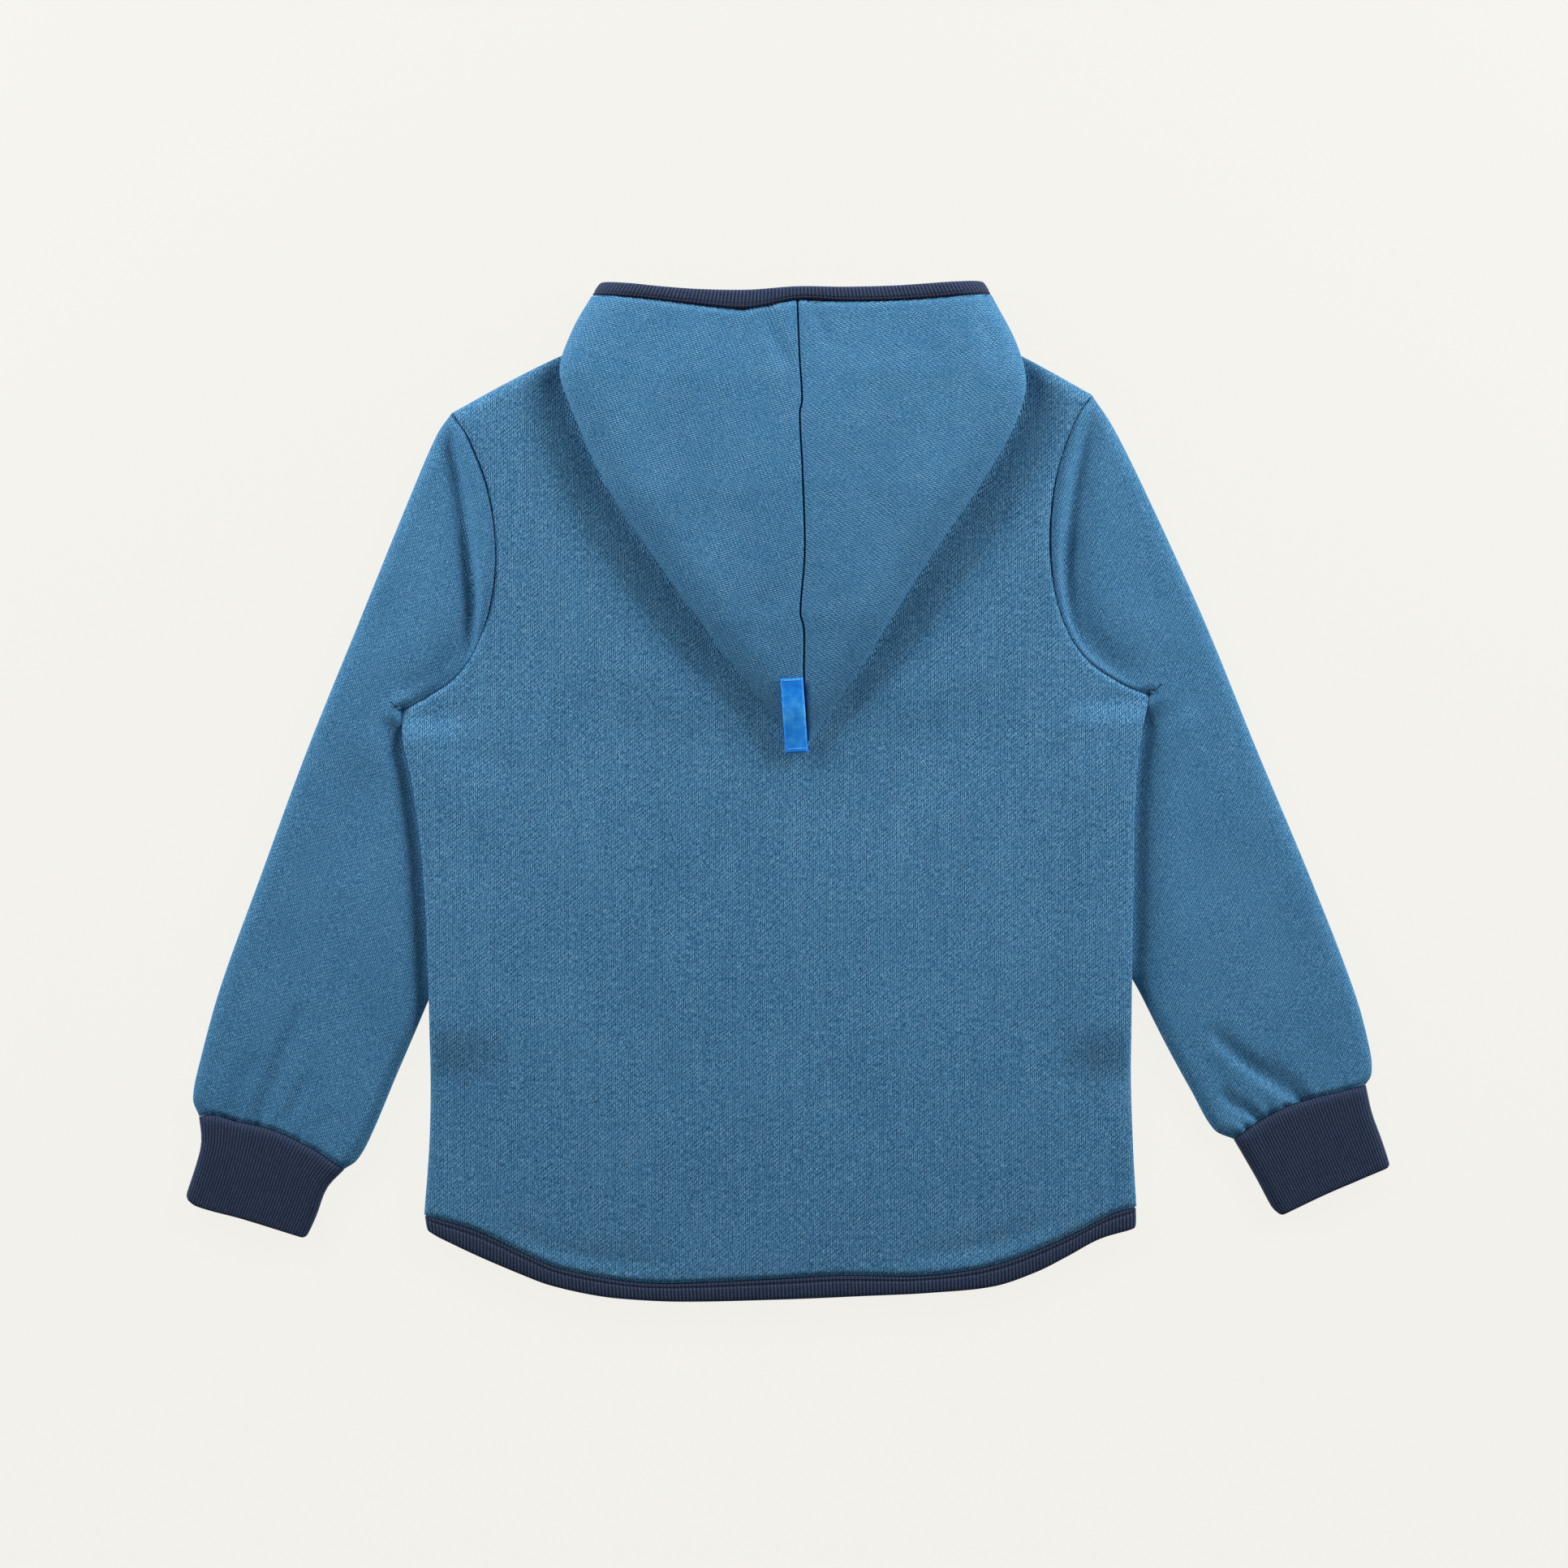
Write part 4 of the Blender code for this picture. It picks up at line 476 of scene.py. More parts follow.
# Both have painted shade in their rib valleys; the binding also has a painted shadow strip at its seam.
RIB_KNIT = rib_knit("navy rib knit", 0.13)
BAND_KNIT = rib_knit("navy rib knit, binding", 0.24, strip=2.3)
SATIN = satin_ribbon()
TAPE = woven_tape()
NAVY_THREAD = plain_finish("navy polyester thread", ("#161f30", "#263349"), 0.5, 0.6)
LABEL_THREAD = plain_finish("light blue polyester thread", ("#6fb2e6", "#a9d4f4"), 0.4, 0.5)
NICKEL = plain_finish("nickel finished zinc", ("#9a9b9d", "#b4b5b6"), 0.6, 0.32, metallic=1.0)
TOOTH_PLASTIC = plain_finish("navy moulded acetal", ("#1a2233", "#232e44"), 0.8, 0.38)
print("finishes:", len(bpy.data.materials))

# %% [markdown]
# ## From a grid to a piece
# A skin is a grid of points joined by quads. Cloth then gets its thickness inwards from a Solidify
# modifier, so the modelled side is the one that shows. Each piece also gets a UV map in metres that runs
# with the grain of the cloth. Where a fold turns down, its drop is added outwards, so that the stitches go
# on round it.


# %% Mesh helpers
def grid_index(*counts):
    """Vertex numbers of a grid."""
    return np.arange(np.prod(counts)).reshape(counts)


def quads_of(index, wrap=False):
    """Quads of a grid of vertex numbers; wrap joins the last column to the first."""
    if wrap:
        index = np.concatenate((index, index[:, :1]), axis=1)
    corners = (index[:-1, :-1], index[:-1, 1:], index[1:, 1:], index[1:, :-1])
    return np.stack(corners, axis=-1).reshape(-1, 4)


def signed_volume(points, quads):
    """Volume between the faces and their middle: negative where they point inwards."""
    p = points - points.mean(0)
    a, b, c, d = (p[quads[:, k]] for k in range(4))
    return (a * np.cross(b, c)).sum() + (a * np.cross(c, d)).sum()


def upward_area(points, quads):
    """Plan area of the faces, negative where they point down."""
    a, b, c, d = (points[quads[:, k], :2] for k in range(4))
    p, q = c - a, d - b
    return (p[:, 0] * q[:, 1] - p[:, 1] * q[:, 0]).sum() / 2


def outward(points, quads):
    """Horizontal part of each point's normal: 0 on level cloth, 1 where a fold turns down."""
    corner = points[quads]
    normal = np.cross(corner[:, 2] - corner[:, 0], corner[:, 3] - corner[:, 1])
    total = np.zeros(points.shape)
    np.add.at(total, quads.ravel(), np.repeat(normal, 4, axis=0))
    return total[:, :2] / np.maximum(np.linalg.norm(total, axis=1), 1e-12)[:, None]


LEVEL_SPAN = 4.5     # mm: creases on the top of a panel are not deeper


def grain_uv(points, angle, quads=None):
    """Plan coordinates turned so that the second runs along the wales, in metres. Where a fold turns down,
    its drop is added outwards, which lays the fold out flat."""
    plan = points[:, :2]
    if quads is not None:
        plan = plan + outward(points, quads) * np.maximum(points[:, 2].max() - points[:, 2:] - LEVEL_SPAN, 0)
    turn = np.radians(angle)
    return np.stack((plan[:, 0] * np.cos(turn) + plan[:, 1] * np.sin(turn),
                     plan[:, 1] * np.cos(turn) - plan[:, 0] * np.sin(turn)), axis=1) * MM


def add_piece(name, points, faces, material, uv):
    """A mesh object at the origin, from points in millimetres."""
    mesh = bpy.data.meshes.new(name)
    mesh.from_pydata((points * MM).tolist(), [], faces)
    mesh.materials.append(material)
    corner = np.zeros(len(mesh.loops), int)
    mesh.loops.foreach_get("vertex_index", corner)
    layer = mesh.uv_layers.new(name="grain")
    layer.data.foreach_set("uv", uv[corner].ravel())
    mesh.shade_smooth()
    piece = bpy.data.objects.new(name, mesh)
    bpy.context.scene.collection.objects.link(piece)
    print(f"{name}: {len(points)} points, {len(faces)} faces")
    return piece


def settle(piece, node_name):
    """The piece hides its solid, when it stands for one, and moves with the garment."""
    if node_name:
        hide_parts(node_name)
    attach(piece, "garment")
    return piece


def closed(rings, flip=False):
    """Faces of a tube from rings of vertex numbers, with a cap at both ends; flip turns them all over."""
    faces = [*quads_of(rings, wrap=True).tolist(), rings[0][::-1].tolist(), rings[-1].tolist()]
    return [face[::-1] for face in faces] if flip else faces


def cloth(name, skin, material, thickness, angle=0.0, facing="out", quads=None, uv=None):
    """A skin with its thickness behind it: a grid of points, or points with their quads. facing: up, down or
    out of the hollow it encloses."""
    points = skin.reshape(-1, 3)
    if quads is None:
        quads = quads_of(grid_index(*skin.shape[:2]))
    measure = signed_volume(points, quads) if facing == "out" else upward_area(points, quads)
    if (measure < 0) != (facing == "down"):
        quads = quads[:, ::-1]
    uv = grain_uv(points, angle, quads) if uv is None else uv
    piece = add_piece(name, points, quads.tolist(), material, uv)
    wall = piece.modifiers.new("thickness", "SOLIDIFY")
    wall.thickness = thickness * MM
    wall.offset = -1.0
    return piece


# %% [markdown]
# ## How high the laid cloth lies
# Two layers of sweat knit with some air between them lie 7.6 mm high. At a fold the top layer comes down in
# a quarter round to meet the lower one half way. Along its sides the body lies on the sleeves, which are
# pressed flat there, so it rises to 11 mm and eases down again beside them.

# %% Heights
CLOTH, TRIM, SEAM = 2.0, 2.4, 0.3
HALF_SEAM = SEAM / 2
LAID, FOLD, FOLD_REACH = 7.6, 3.8, 7.0
TUCKED, LIFT, LIFTED_TOP = 4.5, 4.9, 11.3
UPPER, LOWER = 1.0, -1.0
TUCK_STRIP, TUCK_FADE = {UPPER: 17.0, LOWER: 14.5}, {UPPER: 32.0, LOWER: 12.0}
CROSSING_Y, CROSSING_EASE = -155.0, 33.0      # where the sleeve comes out from under the body
UNDERARM_GAP, UNDERARM_EASE = 1.0, 15.0       # where its other end starts, below the underarm


def rounding(inward, reach=FOLD_REACH):
    """A quarter circle: 0 at the fold, 1 from its reach inwards."""
    return np.sqrt(1 - (1 - np.clip(inward / reach, 0, 1)) ** 2)


def pressed(side, y):
    """1 where the body lies on this sleeve, 0 above the underarm and below the crossing."""
    underarm = OUTLINES[side]["armhole"][0][1]
    return ease((underarm - UNDERARM_GAP - y) / UNDERARM_EASE) * ease((y - CROSSING_Y) / CROSSING_EASE)


def near_side(inward, face):
    """1 in the strip that rests on the sleeve, easing to 0 beside it, sooner on the lower face."""
    return 1 - ease((inward - TUCK_STRIP[face]) / TUCK_FADE[face])


def body_surface(plan, face):
    """Outer skin of the back (UPPER) or front (LOWER): fold height plus a rounded rise to its level."""
    lifted = np.zeros(plan.shape[:-1])
    share = np.ones(plan.shape[:-1])
    for side in OUTLINES:
        inward = distance(plan, SIDE[side])
        lifted = np.maximum(lifted, pressed(side, plan[..., 1]) * near_side(inward, face))
        share *= rounding(inward) * rounding(distance(plan, SHOULDER[side]))
    fold = FOLD + ((LIFT + LIFTED_TOP) / 2 - FOLD) * lifted + face * HALF_SEAM
    level = LAID + (LIFTED_TOP - LAID) * lifted if face == UPPER else LIFT * lifted
    return raised(plan, fold + (level - fold) * share)


def troughs(plan, table):
    """Soft creases: a bell across a curve through its points, tapered to nothing at both ends. Its two half
    widths are left and right of the curve; one number stands for both."""
    relief = np.zeros(plan.shape[:-1])
    for points, depth, *halves in table:
        line = smooth_curve(points, 6)
        gap, run, left_of = nearest(plan, line)
        taper = np.sin(np.pi * np.clip(run / lengths(line)[-1], 0, 1)) ** 0.6
        relief -= depth * bump(gap / np.where(left_of, halves[0], halves[-1])) * taper
    return relief


def swell(plan, amount, size):
    """Slow unevenness of laid cloth: three crossed waves that never line up."""
    x, y = plan[..., 0] / size, plan[..., 1] / size
    return amount * (np.sin(5.1 * x + 1.3 * y + 0.7) + np.sin(2.3 * x - 4.7 * y + 2.1)
                     + np.sin(3.7 * x + 3.1 * y + 4.0)) / 3


print("laid height, mm:", LAID, "over a sleeve:", LIFTED_TOP)

# %% [markdown]
# ## The back
# One large panel from the hem to the shoulders. Its grid is close near the folds and seams and about 3 mm
# elsewhere. The cloth sinks towards the armhole and hem seams, where it is sewn into a ridge that lies
# underneath. Soft creases run in from the underarms and along the hem. Beside the hood the cloth is pressed
# down by its weight and swells a little further out.

# %% Back panel
BACK_STEP, FRONT_STEP = 3.0, 5.0        # mm between points on the level cloth
BACK_SWELL = (0.22, 60.0)               # height and size of the cloth's slow unevenness
SWELL_REACH, DENT_REACH = 30.0, 25.0    # mm from a fold and from the shoulder at which they are full
WIDTH = 385.0                           # across the body
NECK_LEFT, NECK_RIGHT = 0.31, 0.77      # shares of that at which the neck begins and ends
SEAM_SINK, SEAM_HALF = 1.1, 1.5         # how deep and how wide cloth sinks at a plain seam
# The hood's weight presses the back down: depth; share and half width of the dent's two bells; depth, place
# and half width of the swell beside it; where it starts above the hood's point, and how soon.
HOOD_DENT = {"left": 5.2, "right": 4.8}
DENT_BELLS, DENT_SWELL, DENT_START = ((0.55, 8), (0.5, 18)), (2.0, 46, 22), (26, 40)
BACK_CREASES = (
    (((-196, 30), (-170, 22), (-140, 6)), 0.7, 9.0),
    (((-190, -10), (-165, -30), (-150, -66)), 0.5, 11.0),
    (((186, 40), (160, 28), (136, 8)), 0.7, 9.0),
    (((178, -8), (160, -34), (150, -70)), 0.5, 11.0),
    (((-150, -232), (-110, -246), (-60, -251)), 0.7, 6.0),
    (((60, -247), (104, -241), (146, -226)), 0.8, 6.0),
    (((-60, -40), (-66, -110), (-58, -180)), 0.35, 16.0),
    (((52, -20), (60, -100), (48, -190)), 0.35, 18.0),
)


def back_columns(step):
    """Shares across the back, with columns at both ends of the neck."""
    u = spaced(WIDTH, step)
    for corner in (NECK_LEFT, NECK_RIGHT):
        u[np.argmin(abs(u - corner))] = corner
    return u


def body_rows(step, short=HALF_SEAM):
    """Left and right edges with the same rows: the hem, the underarm and the shoulder fall on a row. Short is
    how far the panel ends before the armhole line."""
    counts = []
    for line in (SIDE, ARMHOLE):
        run = max(lengths(line[side])[-1] for side in OUTLINES)
        counts.append(spaced(run, step))
    edges = {}
    for side in OUTLINES:
        fold = along(SIDE[side], counts[0])
        arm = moved_away(along(ARMHOLE[side], counts[1]), BODY_MIDDLE, -short)
        edges[side] = np.vstack((fold[:-1], arm))
    return edges["left"], edges["right"]


def seam_sink(plan, *seams):
    """How far the cloth sinks beside these seams."""
    return SEAM_SINK * np.max([bump(distance(plan, line) / SEAM_HALF) for line in seams], axis=0)


def hood_dent(plan, side):
    """How far the hood's weight presses the back down beside its fold."""
    beside = distance(plan, CURVES[side]["hood_fold"])
    depth, place, half = DENT_SWELL
    dent = HOOD_DENT[side] * sum(share * bump(beside / width) for share, width in DENT_BELLS)
    dent -= depth * bump((beside - place) / half)
    return dent * ease((plan[..., 1] - DENT_START[0]) / DENT_START[1])


left, right = body_rows(BACK_STEP)
u = back_columns(BACK_STEP)
neck = u[(u > NECK_LEFT) & (u < NECK_RIGHT)]
top = np.vstack((along(SHOULDER["left"], u[u <= NECK_LEFT] / NECK_LEFT),
                 along(smooth_curve(BACK_NECK), (neck - NECK_LEFT) / (NECK_RIGHT - NECK_LEFT)),
                 along(SHOULDER["right"], (1 - u[u >= NECK_RIGHT]) / (1 - NECK_RIGHT))))
top[0], top[-1] = left[-1], right[-1]
run = (lengths(left) / lengths(left)[-1] + lengths(right) / lengths(right)[-1]) / 2
plan = coons(along(HEM_SEAM_CURVE, u), top, left, right, np.tile(u, (len(run), 1)), run)
back_skin = body_surface(plan, UPPER)
back_skin[..., 2] += troughs(plan, BACK_CREASES) + swell(plan, *BACK_SWELL) * rounding(
    np.minimum(distance(plan, SIDE["left"]), distance(plan, SIDE["right"])), SWELL_REACH)
back_skin[..., 2] -= seam_sink(plan, ARMHOLE["left"], ARMHOLE["right"], HEM_SEAM_CURVE)
for side in OUTLINES:
    back_skin[..., 2] -= hood_dent(plan, side) * rounding(distance(plan, SHOULDER[side]), DENT_REACH)
back = settle(cloth("back_panel", back_skin, SWEAT_KNIT, CLOTH, facing="up"), "back")

# %% [markdown]
# ## The fronts
# The two front panels lie underneath, flat on the surface, and end beside the zip. They are cut and sewn
# like the back. Nothing of them shows in the photograph's view, so they are plain.


# %% Front panels
ZIP_GAP = 4.6                                     # from the zip's line to a front's edge
HEM_SHARE = {"left": 0.63, "right": 0.72}         # of a front's hem, below the shoulder: no row folds over
FRONT_NECK_SHARES = np.concatenate((np.linspace(0, 0.88, 23)[1:], (0.92, 0.96, 1.0)))


def zip_edge(side, shares):
    """The front's edge along the zip, from the hem seam to the neck."""
    line = np.array(ZIP_LINE) + ((-ZIP_GAP if side == "left" else ZIP_GAP), 0.0)
    line[0, 1] = np.interp(line[0, 0], HEM_SEAM_CURVE[:, 0], HEM_SEAM_CURVE[:, 1])
    return line[0] + np.asarray(shares)[:, None] * (line[1] - line[0])


def front_skin(side):
    """Outer skin of one front: columns run from the side fold to the zip."""
    edge = body_rows(FRONT_STEP, -HALF_SEAM)[0 if side == "left" else 1]      # no floor shows at the seam
    corner = NECK_LEFT if side == "left" else 1 - NECK_RIGHT
    across = spaced(corner * WIDTH, FRONT_STEP, end=False)
    last = HEM_SHARE[side]
    u = np.concatenate((across * last, last + (1 - last) * FRONT_NECK_SHARES))
    top = np.vstack((along(SHOULDER[side], across), along(CURVES[side]["front_neck"], FRONT_NECK_SHARES)))
    top[0] = edge[-1]
    run = lengths(edge) / lengths(edge)[-1]
    opening = zip_edge(side, run)
    opening[-1] = top[-1]
    hem = HEM_SEAM_CURVE if side == "left" else HEM_SEAM_CURVE[::-1]
    hem = hem[abs(hem[:, 0] - hem[0, 0]) <= abs(opening[0, 0] - hem[0, 0])]
    bottom = along(np.vstack((hem, opening[:1])), u)
    plan = coons(bottom, top, edge, opening, np.tile(u, (len(run), 1)), run)
    skin = body_surface(plan, LOWER)
    skin[..., 2] += seam_sink(plan, ARMHOLE[side], HEM_SEAM_CURVE)
    return skin


fronts = {}
for side in OUTLINES:
    fronts[side] = cloth(f"front_panel_{side}", front_skin(side), SWEAT_KNIT, CLOTH, facing="down")
    settle(fronts[side], f"front_{side}")

# %% [markdown]
# ## The sleeves
# A set-in sleeve is a tube that lies flat: an upper and a lower skin that share the outer fold and, below
# the underarm, the inner fold. Beside the armhole the turned-in seam makes a soft roll with a groove behind
# it. Folds gather above the cuffs, where the wide sleeve is drawn into the narrow rib, and they are not the
# same on the two sleeves.

# %% Sleeve tables
# Distance up the armhole from the underarm, and the share of the outer fold that lies across from it.
CAP = ((58.0, 0.0), (50.0, 0.016), (41.0, 0.038), (31.0, 0.065), (20.0, 0.13), (9.0, 0.22), (4.0, 0.31),
       (1.2, 0.355), (0.0, 0.385))
# Below the underarm: share of the inner fold, share of the outer fold.
ARM = ((0.0, 0.385), (0.035, 0.405), (0.085, 0.44), (0.17, 0.49), (0.30, 0.57), (0.44, 0.66), (0.58, 0.75),
       (0.70, 0.825), (0.79, 0.885), (0.87, 0.93), (0.94, 0.965), (1.0, 1.0))
SLEEVE_WIDTH, SLEEVE_STEP = 105.0, 3.0
# Beside the body a sleeve dips, then rises to a soft shoulder: strip, reach of the rise, heights.
EDGE_STRIP, EDGE_FADE, EDGE_ROLL, EDGE_DIP = 1.5, {"left": 11.0, "right": 17.0}, 0.9, 0.9
ROLL_PLACE, ROLL_HALF, DIP_PLACE, DIP_HALF = 5, 7, 2.0, 3.0
PRESSED_OUT = 0.8                           # share of the creases that is pressed out under the body
# Distance from the armhole, height, half width: the roll over the turned-in seam, and the sleeve's full head.
RISES = ((4.5, 2.0, 4.0), (14.0, 0.9, 12.0), (28.0, 1.4, 12.0))
ROLL_END = {"left": 0.6, "right": 0.1}      # share of the rises that is left at the underarm
ROLL_FADE = (62, 50)                        # where it begins to grow to the whole, and over what length
# The groove behind the roll: from the shoulder down to the underarm, steep on the roll's side.
GROOVES = {
    "left": (
        (((-184, 222), (-180, 200), (-176.6, 176), (-172.4, 148), (-168.4, 116.5), (-166.6, 97.6),
          (-168.8, 78.7), (-176.4, 64.4), (-190, 53), (-204, 45)), 5.4, 3.2, 7.5),
        (((-172, 140), (-168.8, 116), (-167.2, 97), (-169.4, 79), (-177, 66)), 1.6, 2.4, 5.5),
    ),
    "right": (
        (((168, 226), (160, 200), (154.0, 176), (149.5, 148), (146.6, 122.9), (147.6, 105), (152.0, 88),
          (159.6, 75.4), (173, 64.0), (190, 55)), 4.5, 9.0, 2.6),
        (((149.5, 140), (147.0, 120), (148.0, 104), (152.4, 88), (160.4, 75.4)), 1.4, 7.0, 2.2),
    ),
}
SLEEVE_CREASES = {
    "left": (
        (((-258, -112), (-270, -146), (-283, -182)), 1.6, 7.0, 4.0),
        (((-283, -140), (-291, -158), (-297, -180)), 1.0, 4.0),
        (((-252, -150), (-262, -168), (-268, -188)), 1.1, 4.5),
        (((-240, -168), (-248, -180), (-252, -194)), 0.8, 3.5),
        (((-182.5, -82), (-195.5, -115.1), (-210.1, -149.5), (-224.7, -183.9), (-231, -194)), 1.3, 0.9),
        (((-214, 40), (-226, 0), (-232, -50)), 0.8, 14.0),
        (((-246, -20), (-258, -60), (-264, -104)), 0.5, 12.0),
    ),
    "right": (
        (((222, -127), (236, -139.5), (254, -153), (268, -162), (282, -166)), 3.4, 5.0, 1.7),
        (((228, -160), (236, -166), (246, -172), (254, -175)), 2.2, 3.2, 1.5),
        (((226, -140), (231, -158), (240, -176)), 1.0, 5.0),
        (((252, -140), (262, -152), (272, -158)), 1.1, 4.0, 2.0),
        (((286, -130), (284, -146), (282, -160)), 0.7, 5.0),
        (((206, 30), (214, -10), (220, -60)), 0.6, 14.0),
        (((240, -20), (258, -70), (272, -112)), 0.5, 12.0),
    ),
}
# Puckers where the sleeve is drawn into the cuff: place along the seam, depth, half width, reach.
PUCKERS = {
    "left": ((8, 0.8, 1.6, 7), (14, 1.2, 1.5, 9), (20, 1.8, 1.7, 13), (26, 1.2, 1.5, 9), (32, 1.8, 2.0, 15),
             (41, 0.8, 1.8, 8), (55, 1.0, 2.4, 10), (68, 0.6, 2.2, 8)),
    "right": ((12, 0.6, 2.0, 8), (24, 0.9, 2.2, 10), (36, 1.2, 2.0, 11), (44, 1.0, 1.7, 8),
              (53, 1.4, 1.9, 10), (61, 1.6, 1.8, 10), (68, 1.2, 1.6, 8), (75, 0.8, 1.8, 6)),
}


# %% Sleeves
def sleeve_plan(side):
    """Plan grid of a sleeve from the armhole to the cuff, and the row of the underarm."""
    arm, inner_curve, outer_curve = (CURVES[side][key] for key in ("armhole", "sleeve_inner", "sleeve_outer"))
    total, reach = lengths(arm)[-1], CAP[0][0]
    low = spaced(reach, SLEEVE_STEP, end=False) * reach
    below = spaced(lengths(inner_curve)[-1], SLEEVE_STEP)[1:]
    seam = moved_away(along(arm, low[::-1] / total), BODY_MIDDLE, HALF_SEAM)
    seam[-1] = inner_curve[0]
    inner = np.vstack((seam, along(inner_curve, below)))
    cap, arm_rows = np.array(CAP)[::-1], np.array(ARM)
    outer = along(outer_curve, np.concatenate((np.interp(low[::-1], cap[:, 0], cap[:, 1]),
                                               np.interp(below, arm_rows[:, 0], arm_rows[:, 1]))))
    bunched = spaced(SLEEVE_WIDTH, SLEEVE_STEP)
    high = 1 - spaced(total - reach, SLEEVE_STEP, end=False) * (1 - reach / total)
    even = np.interp(np.linspace(0, 1, len(bunched)), np.linspace(0, 1, len(high)),
                     (1 - high) / (1 - high[-1]))
    first = moved_away(along(arm, 1 - even * (1 - reach / total)), BODY_MIDDLE, HALF_SEAM)
    outer[0] = first[0]
    first[-1] = inner[0]
    run = (lengths(inner) / lengths(inner)[-1] + lengths(outer) / lengths(outer)[-1]) / 2
    turn = ease(np.arange(len(run)) / (len(low) - 1.0))[:, None]
    u = (1 - turn) * even + turn * bunched
    top = read_line(first, even, u)
    top += turn[..., None] * (first[0] + u[..., None] * (first[-1] - first[0]) - top)
    return coons(top, along(CUFF_SEAM[side], u), outer, inner, u, run), len(low) - 1


def sleeve_relief(side, plan):
    """Roll and groove beside the armhole, the folds above the cuff, and the puckers at its seam."""
    away = distance(plan, ARMHOLE[side])
    relief = sum(height * bump((away - centre) / half) for centre, height, half in RISES)
    relief *= ROLL_END[side] + (1 - ROLL_END[side]) * ease((plan[..., 1] - ROLL_FADE[0]) / ROLL_FADE[1])
    relief += troughs(plan, SLEEVE_CREASES[side] + GROOVES[side]) + swell(plan, 0.2, 50.0)
    above, run, _ = nearest(plan, CUFF_SEAM[side])
    for place, depth, half, reach in PUCKERS[side]:
        relief -= depth * bump((run - place) / half) * bump(above / reach)
    return relief - seam_sink(plan, ARMHOLE[side], CUFF_SEAM[side])


def sleeve_skins(side):
    """Points and quads of the tube; both skins share the folds."""
    plan, joined = sleeve_plan(side)
    line = SIDE[side]
    under = np.sign(line[0, 0]) * (np.interp(plan[..., 1], line[:, 1], line[:, 0]) - plan[..., 0]) > 0
    beyond = distance(plan, line) * np.where(under, -1.0, 1.0)
    weight, fade = pressed(side, plan[..., 1]), EDGE_FADE[side]
    strip = weight * (1 - ease((beyond - EDGE_STRIP) / fade))
    shoulder = EDGE_ROLL * bump((beyond - fade - ROLL_PLACE) / ROLL_HALF) * weight
    dip = EDGE_DIP * bump((beyond - DIP_PLACE) / DIP_HALF) * weight
    top, fold = LAID + shoulder - dip - (LAID - TUCKED) * strip, FOLD - (FOLD - TUCKED / 2) * strip
    inner, outer = (rounding(distance(plan, CURVES[side][key])) for key in ("sleeve_inner", "sleeve_outer"))
    share = inner * outer
    upper = fold + (top + sleeve_relief(side, plan) * (1 - PRESSED_OUT * strip) - fold) * share
    lower = fold * (1 - share)
    points = np.concatenate((raised(plan, upper), raised(plan, lower))).reshape(-1, 3)
    above = grid_index(*plan.shape[:2])
    below = above + above.size
    below[:, 0] = above[:, 0]
    below[joined:, -1] = above[joined:, -1]
    quads = np.concatenate((quads_of(above), quads_of(below)[:, ::-1]))
    used, quads = np.unique(quads, return_inverse=True)
    return points[used], quads.reshape(-1, 4)


SLEEVE_GRAIN = {"left": -22.0, "right": 20.0}       # degrees the sleeves lean out
sleeves = {}
for side in OUTLINES:
    points, quads = sleeve_skins(side)
    sleeves[side] = cloth(f"sleeve_tube_{side}", points, SLEEVE_KNIT, CLOTH, SLEEVE_GRAIN[side], quads=quads)
    settle(sleeves[side], f"sleeve_{side}")

# %% [markdown]
# ## The cuffs
# Each cuff is a doubled tube of one by one rib. Its 46 ribs a side are modelled: every rib is a rounded
# ridge with a narrow valley, six points wide. The tube sinks at the seam with the sleeve and turns in at
# its free end, where the rib is folded back inside.

# %% Cuffs
CUFF_RIBS, RIB_POINTS, RIB_RISE = 46, 6, 0.45
CUFF_SHARES = np.array((0.0, 0.012, 0.03, 0.06, 0.12, 0.2, 0.3, 0.4, 0.5, 0.6, 0.7, 0.8, 0.88, 0.94, 0.97,
                        0.985, 0.994, 1.0))
TURN_IN, CORNER = 1.1, 3.0    # how far the doubled end turns in, and how round its corners are, mm
TURN_REACH, CORNER_RISE, RIB_FULL = 1.6, 8, 1.3   # length of the turn, how late corners begin, ribs at a fold


def rib_place(columns):
    """Place of each column in rib widths, in millimetres of the rib's UV map."""
    return np.arange(columns) * RIB_WIDTH / RIB_POINTS


def ribs(count):
    """Ridge heights, 0 in the valleys and 1 on the ribs, at six places a rib."""
    place = np.arange(count * RIB_POINTS + 1) / RIB_POINTS
    return np.abs(np.sin(np.pi * place)) ** 0.7


